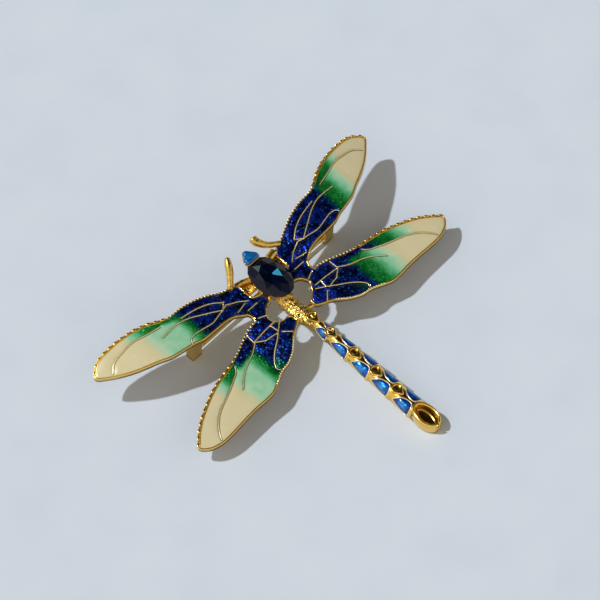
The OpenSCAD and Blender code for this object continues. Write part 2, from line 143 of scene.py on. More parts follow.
right = tip((math.cos(TURN), math.sin(TURN), 0))
up = tip((-math.sin(TURN) * math.sin(HEIGHT), math.cos(TURN) * math.sin(HEIGHT), math.cos(HEIGHT)))
back = right.cross(up)
camera = bpy.data.objects.new("camera", bpy.data.cameras.new("camera"))
camera.data.lens = LENS
camera.data.sensor_width = SENSOR
camera.data.clip_start = 0.01
camera.data.clip_end = 10
distance = VIEW_WIDTH * MM * LENS / SENSOR
target = Vector(lie([AIM])[0])
camera.matrix_world = Matrix.Translation(target + back * distance) @ Matrix(
    (right, up, back)).transposed().to_4x4()
bpy.context.scene.collection.objects.link(camera)
bpy.context.scene.camera = camera
bpy.context.scene.view_settings.view_transform = "Standard"
print("camera", round(distance, 3), "m away, elevation", round(math.degrees(math.asin(back.z)), 1))

# %% [markdown]
# ## Table and light
# The brooch lies on a pale, matt board in sun from the head's left side. A sun lamp with a small
# disc gives the clear, slightly soft shadow, and its direction was worked out from how far each
# wing tip's shadow falls from the tip. The sun is almost white. The sky that fills the shadows is
# warm, as light from a room's walls is, so the shadows turn tan. An even sky would be simpler,
# but polished gold only looks like metal if it has something dark to mirror, so this one darkens
# towards one side.

# %% Colours
def srgb(code, alpha=1.0):
    """Linear colour of an sRGB hex code."""
    parts = [int(code[i:i + 2], 16) / 255 for i in (1, 3, 5)]
    return (*[p / 12.92 if p <= 0.04045 else ((p + 0.055) / 1.055) ** 2.4 for p in parts], alpha)


def blends(node, stops):
    """Sets the stops of a colour ramp: place and hex colour."""
    ramp = node.color_ramp
    while len(ramp.elements) < len(stops):
        ramp.elements.new(0.5)
    for element, (place, code) in zip(ramp.elements, stops):
        element.position = place
        element.color = srgb(code)
    return node


print("middle grey in linear light:", round(srgb("#808080")[0], 3))


# %% Nodes and materials
def add(tree, kind, inputs=None, **settings):
    """Adds a node. An input takes a value, a socket to link from, or a node for its first output."""
    node = tree.nodes.new(kind)
    for name, value in settings.items():
        setattr(node, name, value)
    for name, value in (inputs or {}).items():
        if isinstance(value, bpy.types.Node):
            value = value.outputs[0]
        if isinstance(value, bpy.types.NodeSocket):
            tree.links.new(value, node.inputs[name])
        else:
            node.inputs[name].default_value = value
    return node


def material(name, **values):
    """New material with a Principled shader and its constant values."""
    made = bpy.data.materials.new(name)
    made.use_nodes = True
    tree = made.node_tree
    shader = next(n for n in tree.nodes if n.type == "BSDF_PRINCIPLED")
    for key, value in values.items():
        shader.inputs[key.replace("_", " ")].default_value = value
    return made, tree, shader


def link(tree, shader, **sources):
    """Links sources to a shader's sockets, a node by its first output."""
    for name, source in sources.items():
        socket = source.outputs[0] if isinstance(source, bpy.types.Node) else source
        tree.links.new(socket, shader.inputs[name.replace("_", " ")])


print("materials before the first of these:", len(bpy.data.materials))


# %% Patterns, ranges and sums
def noise_of(tree, size, **inputs):
    """Noise on Object coordinates, with clouds of that size in millimetres."""
    place = add(tree, "ShaderNodeTexCoord").outputs["Object"]
    return add(tree, "ShaderNodeTexNoise", {"Vector": place, "Scale": 1 / (size * MM), **inputs})


def pebbles_of(tree, size, feature):
    """A pattern of cells of that size in millimetres on Object coordinates."""
    place = add(tree, "ShaderNodeTexCoord").outputs["Object"]
    return add(tree, "ShaderNodeTexVoronoi", {"Vector": place, "Scale": 1 / (size * MM)}, feature=feature)


def remap(tree, value, low, high, to_low, to_high):
    """Brings a value from one range to another, and keeps it inside."""
    return add(tree, "ShaderNodeMapRange", {"Value": value, "From Min": low, "From Max": high,
                                            "To Min": to_low, "To Max": to_high})


def calc(tree, operation, a, b):
    """One sum of two values."""
    return add(tree, "ShaderNodeMath", {0: a, 1: b}, operation=operation)


def ramp_of(tree, value, stops):
    """Colours of a ramp for a value."""
    return blends(add(tree, "ShaderNodeValToRGB", {"Fac": value}), stops)


print("a pattern of 1 mm has the scale", round(1 / MM))

# %% Board
# Half the board's width in metres, the size of its mottling in millimetres, and its two tones
BOARD = 3.0
MOTTLE = 14
BOARD_TONES = [(0.3, "#d3dfee"), (0.7, "#d9e3f1")]
# Matt white paint, rolled on. It has no gloss, and its faint mottling keeps it from looking empty.
board_paint, tree, shader = material("matt_white_board", Roughness=0.75)
link(tree, shader, Base_Color=ramp_of(tree, noise_of(tree, MOTTLE), BOARD_TONES))
corners = [(-BOARD, -BOARD, 0), (BOARD, -BOARD, 0), (BOARD, BOARD, 0), (-BOARD, BOARD, 0)]
mesh = bpy.data.meshes.new("board")
mesh.from_pydata(corners, [], [(0, 1, 2, 3)])
mesh.materials.append(board_paint)
board = bpy.data.objects.new("board", mesh)
bpy.context.scene.collection.objects.link(board)
board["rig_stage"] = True
print("board", 2 * BOARD, "m wide")

# %% Sun and sky
SUN_FROM = (-0.44, -0.42, 1.0)
SUN_DISC = math.radians(2.6)
SUN_POWER = 1.98
SUN_COLOUR = "#fbfdff"
# Where the sky is darkest, and its tones from the far side of it up to there
DARK_SKY = (-0.21, 0.35, 0.91)
SKY_TONES = [(0.0, "#f1e4d0"), (0.42, "#e7dcca"), (0.66, "#8c8d89"), (0.86, "#2c2d2f"), (1.0, "#151617")]
lamp = bpy.data.lights.new("sun", "SUN")
lamp.energy = SUN_POWER
lamp.angle = SUN_DISC
lamp.color = srgb(SUN_COLOUR)[:3]
sun = bpy.data.objects.new("sun", lamp)
sun.rotation_euler = Vector(SUN_FROM).to_track_quat("Z", "Y").to_euler()
bpy.context.scene.collection.objects.link(sun)

world = bpy.data.worlds.new("sky")
world.use_nodes = True
bpy.context.scene.world = world
tree = world.node_tree
place = add(tree, "ShaderNodeTexCoord")
turned = add(tree, "ShaderNodeVectorMath", {0: place.outputs["Generated"], 1: DARK_SKY},
             operation="DOT_PRODUCT")
shade = ramp_of(tree, turned.outputs["Value"], SKY_TONES)
sky = next(n for n in tree.nodes if n.type == "BACKGROUND")
link(tree, sky, Color=shade)
print("sun elevation", round(math.degrees(math.asin(Vector(SUN_FROM).normalized().z)), 1))

# %% [markdown]
# ## Tables of the wings
# A wing is a list of sections: place along the wing, leading edge, trailing edge, height. A
# smooth curve through the section ends gives its outline. Tracing every point of the outline
# would do as well, but a dozen sections are easier to read and to change. The two sides of the
# casting aren't quite even, so each wing is turned a little about its root. A bar joins fore and
# hind wing, and a round opening is cut through beside the ridge.

# %% Wing tables
FORE_ROWS = [
    (4.6, -3.7, 2.2, 2.25), (6.4, -4.4, 2.3, 2.25), (8.0, -5.0, 2.0, 2.3), (10.0, -5.9, 0.9, 2.8),
    (12.0, -6.7, 0.5, 3.1), (15.0, -7.5, 0.4, 3.2), (17.5, -7.75, 0.2, 3.2), (19.2, -8.05, -0.4, 3.15),
    (22.0, -9.6, -1.0, 3.0), (24.0, -10.5, -1.55, 2.8), (26.0, -11.1, -2.6, 2.5),
    (28.0, -11.55, -3.55, 2.1), (30.0, -11.8, -4.6, 1.6), (32.0, -11.9, -5.9, 1.1),
    (34.0, -11.5, -7.55, 0.5)]
FORE_TIP = (-9.7, 35.85, 0)
HIND_ROWS = [
    (2.2, 7.9, 9.3, 1.9), (3.4, 7.0, 10.1, 2.0), (5.0, 5.4, 11.0, 2.15), (6.5, 4.2, 12.3, 2.2),
    (8.0, 3.8, 13.4, 2.15), (10.0, 4.0, 14.2, 1.8), (11.9, 4.5, 14.4, 1.5), (14.0, 5.35, 15.3, 1.35),
    (16.0, 5.95, 16.1, 1.25), (18.0, 6.3, 16.15, 1.1), (20.5, 6.7, 15.98, 1.0),
    (23.0, 7.3, 16.0, 0.9), (25.5, 8.2, 16.1, 0.75), (28.0, 9.3, 16.15, 0.6),
    (30.0, 10.4, 15.9, 0.4), (32.0, 11.9, 15.0, 0.15)]
HIND_TIP = (13.4, 33.2, 0)
# Turn of each wing in degrees, and the point that it turns about
FORE_SWEEP = {RIGHT: 0.7, LEFT: -0.7}
HIND_SWEEP = {RIGHT: 2, LEFT: -2}
WING_ROOT = np.array((3.0, 6.0))
# Thickness of a tray, width of its rim, and depth of its bed below the rim
WING_T = 0.9
RIM = 0.34
BED = 0.6
# Corners of the bar, how far they are rounded, and each side's opening: centre and radius
BRIDGE = [
    (-3.6, 4.7), (-0.2, 4.7), (0.3, 3.6), (0.5, 2.2), (2.9, 2.2), (3.4, 4.2), (4.9, 5.0),
    (6.5, 4.6), (8.0, 6.0), (8.0, 8.2), (4.2, 8.2), (2.9, 7.7), (1.6, 8.2), (-3.0, 7.6)]
BRIDGE_ROUND = 0.3
OPENING = {RIGHT: ((5.9, 2.75), 1.65), LEFT: ((5.45, 3.75), 1.9)}
OPENING_RIM = 0.16
# Veins as paths along the flat wings, and short straight ones near the roots as x, y to x, y
FORE_VEINS = [
    [(-7.4, 21.0), (-8.2, 24.0), (-9.1, 26.6), (-9.2, 29.4), (-8.9, 31.6), (-7.7, 33.1)],
    [(-2.8, 9.3), (-4.2, 11.3), (-5.2, 13.8), (-5.9, 17.3)],
    [(-1.6, 10.6), (-2.6, 12.3), (-3.7, 14.2), (-4.8, 16.2), (-5.6, 18.8), (-5.5, 22.3)],
    [(-1.6, 10.6), (-1.4, 11.8), (-1.0, 13.8), (-1.35, 15.8), (-1.7, 17.8), (-1.45, 19.0),
     (-0.8, 19.4)]]
HIND_VEINS = [
    [(7.2, 16.9), (8.2, 17.8), (9.2, 19.8), (10.2, 22.2), (11.1, 24.7), (12.2, 26.6), (13.7, 28.2),
     (15.4, 29.3)],
    [(6.7, 11.0), (7.9, 13.0), (8.8, 15.5), (10.0, 17.5), (11.6, 19.3)],
    [(7.0, 4.6), (8.5, 6.7), (9.5, 8.0), (10.7, 10.0), (12.1, 11.6), (13.2, 12.2), (14.0, 11.9)]]
ROOT_VEINS = [
    (-2.8, 9.3, -1.6, 10.6), (-2.1, 9.4, -1.6, 10.6), (-1.2, 7.3, -2.1, 9.4), (0.1, 5.7, -1.2, 7.3),
    (0.0, 6.6, 0.6, 9.0), (1.5, 4.9, 1.5, 7.3), (4.7, 5.3, 3.9, 7.1), (6.5, 5.2, 6.7, 11.0),
    (4.7, 10.9, 6.7, 11.0), (6.6, 6.6, 8.3, 6.4), (6.7, 11.0, 8.1, 9.3), (8.1, 9.3, 8.6, 6.9),
    (8.9, 6.0, 10.4, 4.5)]
print("sections:", len(FORE_ROWS), "fore,", len(HIND_ROWS), "hind; veins:",
      len(FORE_VEINS + HIND_VEINS + ROOT_VEINS))


# %% Smooth curves
def spline(points, per=8):
    """Smooth curve through points, with that many parts between two of them."""
    p = np.asarray(points, float)
    p = np.vstack([p[:1], p, p[-1:]])
    f = (np.arange(per) / per)[:, None]
    parts = []
    for a, b, c, d in zip(p[:-3], p[1:-2], p[2:-1], p[3:]):
        parts.append(0.5 * (2 * b + (c - a) * f + (2 * a - 5 * b + 4 * c - d) * f ** 2
                            + (3 * b - a - 3 * c + d) * f ** 3))
    return np.vstack(parts + [p[-1:]])


def even(path, step):
    """The same path with points at even steps."""
    path = np.asarray(path, float)
    run = np.append(0, np.cumsum(np.linalg.norm(np.diff(path, axis=0), axis=1)))
    places = np.linspace(0, run[-1], max(2, int(round(run[-1] / step)) + 1))
    return np.stack([np.interp(places, run, column) for column in path.T], axis=1)


print("a smooth curve through 3 points has", len(spline([(0, 0), (1, 0), (1, 1)])), "points")


# %% Outlines of wings and bar
def turn(points, degrees):
    """Turns points of a wing about its root."""
    c, s = math.cos(math.radians(degrees)), math.sin(math.radians(degrees))
    away = np.asarray(points, float)[:, :2] - WING_ROOT
    return WING_ROOT + np.stack([c * away[:, 0] - s * away[:, 1], s * away[:, 0] + c * away[:, 1]], axis=1)


def outline(rows, end):
    """Out along the leading edge, round the tip and back along the trailing edge."""
    points = [(r[1], r[0]) for r in rows] + [end[:2]] + [(r[2], r[0]) for r in reversed(rows)]
    return even(spline(points), 0.3)


def inset(path, w):
    """Path moved to its left-hand side, which is inwards on an outline."""
    d = np.gradient(path, axis=0)
    d /= np.linalg.norm(d, axis=1)[:, None]
    return path + w * np.stack([d[:, 1], -d[:, 0]], axis=1)


def wing_loop(rows, end, w, degrees):
    """Outline of a wing, inset by w also at its root."""
    path = inset(outline(rows, end), w)
    path[:, 1] = np.maximum(path[:, 1], rows[0][0] + w)
    return turn(path, degrees)


def bridge_loop(w):
    """Outline of the bar and its arm, inset by w, with rounded corners."""
    p = np.array(BRIDGE)
    w = w + BRIDGE_ROUND / 3
    before, after = p - np.roll(p, 1, axis=0), np.roll(p, -1, axis=0) - p
    normals = []
    for d in (before, after):
        d = d / np.linalg.norm(d, axis=1)[:, None]
        normals.append(np.stack([-d[:, 1], d[:, 0]], axis=1))
    total = normals[0] + normals[1]
    p = p + w * total / (1 + (normals[0] * normals[1]).sum(axis=1))[:, None]
    for _ in range(3):
        q = np.roll(p, -1, axis=0)
        p = np.stack([0.8 * p + 0.2 * q, 0.2 * p + 0.8 * q], axis=1).reshape(-1, 2)
    return p


def ring(centre, radius, n=56):
    """Circle of n points."""
    a = 2 * math.pi * np.arange(n) / n
    return np.asarray(centre) + radius * np.stack([np.cos(a), np.sin(a)], axis=1)


print("one forewing outline has", len(outline(FORE_ROWS, FORE_TIP)), "points")

# %% Heights and veins
# Heights along the wings, and where the bar passes from the forewing's to the hindwing's
FORE_Z = even(spline([(r[0], r[3]) for r in FORE_ROWS] + [FORE_TIP[1:]]), 0.2)
HIND_Z = even(spline([(r[0], r[3]) for r in HIND_ROWS] + [HIND_TIP[1:]]), 0.2)
BRIDGE_FROM, BRIDGE_TO = 1.5, 4.0


def wing_height(points, side):
    """Height of the rims at points of one side, blended from fore to hind wing over the bar."""
    points = np.asarray(points, float)
    fore = np.interp(turn(points, -FORE_SWEEP[side])[:, 1], *FORE_Z.T)
    hind = np.interp(turn(points, -HIND_SWEEP[side])[:, 1], *HIND_Z.T)
    f = np.clip((points[:, 0] - BRIDGE_FROM) / (BRIDGE_TO - BRIDGE_FROM), 0, 1)
    f = f * f * (3 - 2 * f)
    return (1 - f) * fore + f * hind


def strip(path, w):
    """Closed loop round a path, w to each side."""
    d = np.gradient(path, axis=0)
    d /= np.linalg.norm(d, axis=1)[:, None]
    n = w * np.stack([-d[:, 1], d[:, 0]], axis=1)
    return np.vstack([path + n, (path - n)[::-1]])


def vein_paths(side):
    """All veins of one side, as they lie on the turned wings."""
    paths = [turn(even(spline(v), 0.3), FORE_SWEEP[side]) for v in FORE_VEINS]
    paths += [turn(even(spline(v), 0.3), HIND_SWEEP[side]) for v in HIND_VEINS]
    return paths + [even([v[:2], v[2:]], 0.3) for v in ROOT_VEINS]


print("vein paths of one side:", len(vein_paths(RIGHT)))

# %% [markdown]
# ## Meshes for a jeweller's eye
# A wing is a plan drawing with a height for each point. The drawing goes through a Delaunay
# triangulation that keeps every line of it, and each triangle knows which outlines it lies in.
# A closed slab is then a top, a bottom and walls along every free edge. This beats a grid,
# whose steps would show on the curved rims. Tail, cups and legs are rounder, so they are skins
# over a row of rings.

# %% New pieces
def new_piece(name, points, faces, paint, smooth=True, values=None):
    """New object from points of the flat brooch in millimetres, with vertex values by name."""
    mesh = bpy.data.meshes.new(name)
    mesh.from_pydata(lie(points).tolist(), [], [tuple(int(i) for i in f) for f in faces])
    for key, numbers in (values or {}).items():
        mesh.attributes.new(key, "FLOAT", "POINT").data.foreach_set("value", np.asarray(numbers, np.float32))
    mesh.materials.append(paint)
    mesh.polygons.foreach_set("use_smooth", [smooth] * len(mesh.polygons))
    mesh.validate()
    made = bpy.data.objects.new(name, mesh)
    bpy.context.scene.collection.objects.link(made)
    return made


def join(name, pieces):
    """One object of several."""
    bpy.ops.object.select_all(action="DESELECT")
    for piece in pieces:
        piece.select_set(True)
    bpy.context.view_layer.objects.active = pieces[0]
    bpy.ops.object.join()
    pieces[0].name = pieces[0].data.name = name
    return pieces[0]


print("the end of the tail lies at", lie([(TAIL_END, 0, 0)])[0].round(4), "m")


# %% Plans and slabs
def plan(loops, lines=(), dots=()):
    """Triangulates a drawing. Gives points, triangles, and the loops round each triangle."""
    points, edges, faces = [], [], []
    for loop in loops:
        order = list(range(len(points), len(points) + len(loop)))
        ahead = np.roll(loop, -1, axis=0)
        runs_left = (loop[:, 0] * ahead[:, 1] - ahead[:, 0] * loop[:, 1]).sum() > 0
        faces.append(order if runs_left else order[::-1])
        points += [Vector(p) for p in loop]
    for line in lines:
        start = len(points)
        points += [Vector(p) for p in line]
        edges += [(i, i + 1) for i in range(start, len(points) - 1)]
    points += [Vector(p) for p in dots]
    found = geometry.delaunay_2d_cdt(points, edges, faces, 0, 1e-5)
    inside = [set(f) for f in found[5]]
    return np.array([tuple(p) for p in found[0]]), [tuple(f) for f in found[2]], inside


def free_edges(triangles):
    """Directed edges with a triangle on one side only."""
    seen = set()
    for t in triangles:
        for i in range(3):
            seen.add((t[i], t[i - 2]))
    return [(a, b) for a, b in seen if (b, a) not in seen]


def wrap(top, low, triangles, side):
    """Closed slab: triangles at the top heights and the low ones, and walls between them."""
    used = sorted({i for t in triangles for i in t})
    index = {old: new for new, old in enumerate(used)}
    n = len(used)
    tops = [tuple(index[i] for i in t) for t in triangles]
    faces = tops + [tuple(n + i for i in reversed(t)) for t in tops]
    faces += [(b, a, n + a, n + b) for a, b in free_edges(tops)]
    points = np.vstack([top[used], low[used]])
    if side == LEFT:
        points = points * (1, -1, 1)
        faces = [tuple(reversed(f)) for f in faces]
    return points, faces


def nearest(points, places):
    """Distance from each point to the nearest of the places."""
    tree = kdtree.KDTree(len(places))
    for i, p in enumerate(places):
        tree.insert((p[0], p[1], 0), i)
    tree.balance()
    return np.array([tree.find((p[0], p[1], 0))[2] for p in points])


print("a square has", len(plan([np.array([(0, 0), (1, 0), (1, 1), (0, 1)])])[1]), "triangles")


# %% Skins over rings
def grid_faces(rows, columns):
    """Quads of a grid of points that closes on itself along its rows."""
    return [(r * columns + c, r * columns + (c + 1) % columns,
             (r + 1) * columns + (c + 1) % columns, (r + 1) * columns + c)
            for r in range(rows - 1) for c in range(columns)]


def loft(rings, name, paint, values=None, flip=False):
    """Closed skin over rings of equal length, with a fan at each end."""
    rings = np.asarray(rings, float)
    m, n = rings.shape[:2]
    points = np.vstack([rings.reshape(-1, 3), rings[0].mean(axis=0), rings[-1].mean(axis=0)])
    faces = grid_faces(m, n)
    faces += [((c + 1) % n, c, m * n) for c in range(n)]
    faces += [((m - 1) * n + c, (m - 1) * n + (c + 1) % n, m * n + 1) for c in range(n)]
    if flip:
        faces = [tuple(reversed(f)) for f in faces]
    return new_piece(name, points, faces, paint, values=values)


print("a ring of 8 in 3 rows has", len(grid_faces(3, 8)), "quads")

# %% [markdown]
# ## Geometry Nodes: wires and beads
# Veins, cell borders and legs follow paths, and the milgrain repeats along an edge, so two small
# node trees make them. The first sweeps a round profile along a path whose points carry their
# own thickness. The second sets grains on a path at an even pitch, turns them along it and
# varies their size a little, as hand-cut milgrain varies. Both end in real meshes.

# %% Node trees
def tree_with(name, sockets):
    """New geometry tree with a geometry input and output and the named inputs."""
    tree = bpy.data.node_groups.new(name, "GeometryNodeTree")
    tree.interface.new_socket("Geometry", in_out="INPUT", socket_type="NodeSocketGeometry")
    for label, kind in sockets:
        tree.interface.new_socket(label, in_out="INPUT", socket_type=kind)
    tree.interface.new_socket("Geometry", in_out="OUTPUT", socket_type="NodeSocketGeometry")
    return tree, tree.nodes.new("NodeGroupInput").outputs, tree.nodes.new("NodeGroupOutput").inputs


def finish_tree(tree, shape, paint, result):
    """Smooth shading, real meshes in place of instances, and the material."""
    soft = add(tree, "GeometryNodeSetShadeSmooth", {"Geometry": shape})
    whole = add(tree, "GeometryNodeRealizeInstances", {"Geometry": soft})
    painted = add(tree, "GeometryNodeSetMaterial", {"Geometry": whole, "Material": paint})
    tree.links.new(painted.outputs["Geometry"], result["Geometry"])


wire_tree, given, result = tree_with("wire along a path", [
    ("Radius", "NodeSocketFloat"), ("Sides", "NodeSocketInt"), ("Material", "NodeSocketMaterial")])
line = add(wire_tree, "GeometryNodeMeshToCurve", {"Mesh": given["Geometry"]})
profile = add(wire_tree, "GeometryNodeCurvePrimitiveCircle",
              {"Resolution": given["Sides"], "Radius": given["Radius"]})
thick = add(wire_tree, "GeometryNodeInputNamedAttribute", {"Name": "thick"}, data_type="FLOAT")
swept = add(wire_tree, "GeometryNodeCurveToMesh", {
    "Curve": line, "Profile Curve": profile, "Scale": thick, "Fill Caps": True})
finish_tree(wire_tree, swept, given["Material"], result)

# Shares of the set size between which the grains vary
SMALLEST = 0.88
LARGEST = 1.1
bead_tree, given, result = tree_with("grains along a path", [
    ("Pitch", "NodeSocketFloat"), ("Length", "NodeSocketFloat"), ("Width", "NodeSocketFloat"),
    ("Height", "NodeSocketFloat"), ("Seed", "NodeSocketInt"), ("Material", "NodeSocketMaterial")])
line = add(bead_tree, "GeometryNodeMeshToCurve", {"Mesh": given["Geometry"]})
spots = add(bead_tree, "GeometryNodeCurveToPoints", {
    "Curve": line, "Length": given["Pitch"]}, mode="LENGTH")
aimed = add(bead_tree, "FunctionNodeAxesToRotation", {
    "Primary Axis": spots.outputs["Tangent"], "Secondary Axis": (0, 0, 1)},
    primary_axis="X", secondary_axis="Z")
size = add(bead_tree, "ShaderNodeCombineXYZ", {
    "X": given["Length"], "Y": given["Width"], "Z": given["Height"]})
vary = add(bead_tree, "FunctionNodeRandomValue", {2: SMALLEST, 3: LARGEST, "Seed": given["Seed"]},
           data_type="FLOAT")
scale = add(bead_tree, "ShaderNodeVectorMath", {0: size, "Scale": vary.outputs[1]}, operation="SCALE")
grain = add(bead_tree, "GeometryNodeMeshUVSphere", {"Segments": 12, "Rings": 8, "Radius": 0.5})
set_out = add(bead_tree, "GeometryNodeInstanceOnPoints", {
    "Points": spots, "Instance": grain, "Rotation": aimed, "Scale": scale})
finish_tree(bead_tree, set_out, given["Material"], result)
print("trees:", wire_tree.name, "and", bead_tree.name)


# %% Growing wires and grains
def grow(name, paths, tree, inputs, thick=None):
    """Runs a tree on paths of the flat brooch and returns what it makes as a plain mesh."""
    points, edges, sizes = [], [], []
    for k, path in enumerate(paths):
        edges += [(len(points) + i, len(points) + i + 1) for i in range(len(path) - 1)]
        points += list(path)
        sizes += list(thick[k]) if thick else [1.0] * len(path)
    mesh = bpy.data.meshes.new(name)
    mesh.from_pydata(lie(points).tolist(), edges, [])
    mesh.attributes.new("thick", "FLOAT", "POINT").data.foreach_set("value", sizes)
    source = bpy.data.objects.new(name, mesh)
    bpy.context.scene.collection.objects.link(source)
    modifier = source.modifiers.new("grow", "NODES")
    modifier.node_group = tree
    for item in tree.interface.items_tree:
        if item.in_out == "INPUT" and item.name in inputs:
            modifier[item.identifier] = inputs[item.name]
    bpy.context.view_layer.update()
    graph = bpy.context.evaluated_depsgraph_get()
    made = bpy.data.meshes.new_from_object(source.evaluated_get(graph), depsgraph=graph)
    source.modifiers.clear()
    source.data = made
    made.name = name
    return source


def wire(name, paths, radius, paint, sides, thick=None):
    """Round wires along paths."""
    return grow(name, paths, wire_tree, {"Radius": radius * MM, "Sides": sides, "Material": paint}, thick)


def grains(name, paths, pitch, length, width, height, paint, seed):
    """Rows of grains along paths."""
    return grow(name, paths, bead_tree, {
        "Pitch": pitch * MM, "Length": length * MM, "Width": width * MM, "Height": height * MM,
        "Seed": seed, "Material": paint})


print("inputs of the grains:", [item.name for item in bead_tree.interface.items_tree][1:-1])

# %% [markdown]
# ## Finishes
# The casting was polished and then plated in yellow gold. One colour would do for a flat coin,
# but here the polish gives tight bright mirrors on every ridge, and brown painted shade in the
# hollows, between the grains and on the back makes them read. Where it lies is a value on the
# mesh, "gap", because the mesh knows its hollows better than a pattern does.

# %% Gold
GOLD = "#edc769"
CAST_GOLD = "#e0be66"
# Pale gold of the wires, kept light as a painted sheen
WIRE_GOLD = "#fff0c0"
# Brown painted as shade into hollows, between grains and on the backs of the trays
SHADE_BROWN = "#6e3c06"


def gold_material(name, rough, dent, dent_size, colour, metallic=1.0):
    """Gold with shallow dents, their depth and size in millimetres, and brown painted shade in its hollows.
    """
    made, tree, shader = material(name, Metallic=metallic, Roughness=rough)
    bump = add(tree, "ShaderNodeBump", {"Height": noise_of(tree, dent_size, Detail=3.0),
                                        "Distance": dent * MM})
    dark = add(tree, "ShaderNodeAttribute", attribute_name="gap")
    # Sockets 0, 6 and 7 of a colour mix are its factor and its two colours, and output 2 is its colour
    hue = add(tree, "ShaderNodeMix", {0: dark.outputs["Fac"], 6: srgb(colour), 7: srgb(SHADE_BROWN)},
              data_type="RGBA")
    link(tree, shader, Base_Color=hue.outputs[2], Normal=bump)
    return made


# Polished and plated: long soft mirrors of sun and sky, broken by shallow dents, and
# brown painted shade in the hollows
gold = gold_material("polished_antiqued_gold_plate", 0.2, 0.03, 0.9, GOLD)
# Plated straight over the rough casting: many small sparks in place of one clear mirror
gold_hammered = gold_material("rough_cast_gold_plate", 0.26, 0.12, 0.55, CAST_GOLD)
# Pale gold wire: a pale, even line. Its finish is partly diffuse, a painted sheen that keeps the
# wire light also where it faces the dark part of the sky
gold_pale = gold_material("pale_gold_wire_painted_sheen", 0.24, 0.012, 0.6, WIRE_GOLD, metallic=0.8)
print("gold:", ", ".join(m.name for m in (gold, gold_hammered, gold_pale)))

# %% [markdown]
# ## Enamel
# The enamel is of two kinds: glassy blue and green over a pebbled metal floor, which glints
# through it, and milky mint and cream, which hide the floor. Real glass with a floor below it
# would be noisy and slow at this size, so one opaque surface plays both: the pebbles are bumps
# in a half metallic base, the glints are painted, as dots of brighter colour, and a clear top
# coat gives both kinds the same small sharp highlights. The colour runs along the wing in one
# value, "stage".

# %% Enamel
# Colours by share of the way from root to tip: the glass itself, the painted glints in it, and
# the glass of the tail and head, lighter where its domes carry a painted highlight, with its
# painted glints
STAGES = [(0.0, "#06279a"), (0.13, "#0640a6"), (0.24, "#04705a"), (0.33, "#0a9430"), (0.45, "#3fae64"),
          (0.6, "#7cc79e"), (0.74, "#aed2b2"), (0.88, "#d4cba0"), (1.0, "#d9cfa8")]
PAINTED_GLINTS = [(0.0, "#2a8cf0"), (0.2, "#2fc0e6"), (0.4, "#6ae68a"), (1.0, "#e8e4c8")]
BLUES = [(0.0, "#0638a4"), (0.18, "#0a4fbe"), (0.42, "#1c86d6")]
PAINTED_BLUE_GLINTS = [(0.0, "#2fb4ee"), (1.0, "#4fd8f0")]
# Sizes in millimetres: drift of the colours, thick patches, and ripple of the top coat; then the
# height of the pebbles and of the ripple, and how metallic the clear kind is
DRIFT = 1.6
PATCH = 1.3
RIPPLE = 1.1
PEBBLE_H = 0.16
RIPPLE_H = 0.03
METAL_SHARE = 0.55


def enamel_material(name, stops, painted_glints, pebble, dark):
    """Enamel over pebbles of that size in millimetres, with painted glints. Its thick patches keep that share
    of light.
    """
    made, tree, shader = material(name, Roughness=0.3, Specular_IOR_Level=0.12, Coat_Weight=1.0,
                                  Coat_Roughness=0.02, Coat_IOR=1.5)
    stage = add(tree, "ShaderNodeAttribute", attribute_name="stage")
    drift = remap(tree, noise_of(tree, DRIFT), 0.0, 1.0, -0.3, 0.3)
    total = calc(tree, "ADD", stage.outputs["Fac"], drift)
    share = calc(tree, "DIVIDE", total, 3.0)
    clear = remap(tree, total, 1.0, 1.9, 1.0, 0.0)
    # Thick glass is darker, in broad patches. Milky enamel hides them
    light = remap(tree, noise_of(tree, PATCH, Detail=3.0, Roughness=0.65), 0.44, 0.68, dark, 1.15)
    open_up = calc(tree, "MAXIMUM", light, remap(tree, total, 0.3, 1.3, 0.0, 1.0))
    toned = add(tree, "ShaderNodeVectorMath", {0: ramp_of(tree, share, stops), "Scale": open_up},
                operation="SCALE")
    # Painted glints: only some pebbles get the brighter colour, picked by the colour that each cell of
    # the pattern has
    spark = pebbles_of(tree, pebble * 0.9, "F1")
    dot = remap(tree, spark, 0.12, 0.36, 1.0, 0.0)
    chosen = remap(tree, spark.outputs["Color"], 0.5, 0.75, 0.0, 1.0)
    painted_glint_mask = calc(tree, "MULTIPLY", calc(tree, "MULTIPLY", dot, chosen), clear)
    final = add(tree, "ShaderNodeMix", {0: painted_glint_mask, 6: toned, 7: ramp_of(tree, share, painted_glints)},
                data_type="RGBA")
    floor = pebbles_of(tree, pebble, "SMOOTH_F1")
    floor.inputs["Smoothness"].default_value = 0.6
    bump = add(tree, "ShaderNodeBump", {
        "Height": floor, "Distance": calc(tree, "MULTIPLY", clear, PEBBLE_H * MM)}, invert=True)
    skin = add(tree, "ShaderNodeBump", {"Height": noise_of(tree, RIPPLE), "Distance": RIPPLE_H * MM})
    link(tree, shader, Base_Color=final.outputs[2], Metallic=calc(tree, "MULTIPLY", clear, METAL_SHARE),
         Normal=bump, Coat_Normal=skin)
    return made


# Fired in thin layers over a pebbled floor: deep blue with black patches and painted points of
# light at the roots, and smooth as porcelain at the tips
enamel = enamel_material("fired_enamel_over_pebbled_metal", STAGES, PAINTED_GLINTS, 0.55, 0.06)
# Poured clear over brighter metal: an even blue with painted glints and a wet highlight, painted
# lighter towards the tops of its domes
enamel_blue = enamel_material("poured_translucent_blue_enamel", BLUES, PAINTED_BLUE_GLINTS, 0.8, 0.45)
print("enamel:", enamel.name, "and", enamel_blue.name)

# %% [markdown]
# ## Crystal
# A foiled crystal throws light back from its rear facets, so from above most of it is nearly
# black and one or two facets flash. Glass that bends light needs many bounces to do that. Here
# each facet carries its own painted brightness, "painted_flash", which stands in for those
# flashes, and the polished surface mirrors the sky.

# %% Crystal's finish
PAINTED_FLASH_TONES = [(0.0, "#02040e"), (0.3, "#071030"), (0.6, "#4c605f"), (1.0, "#3f9cc4")]
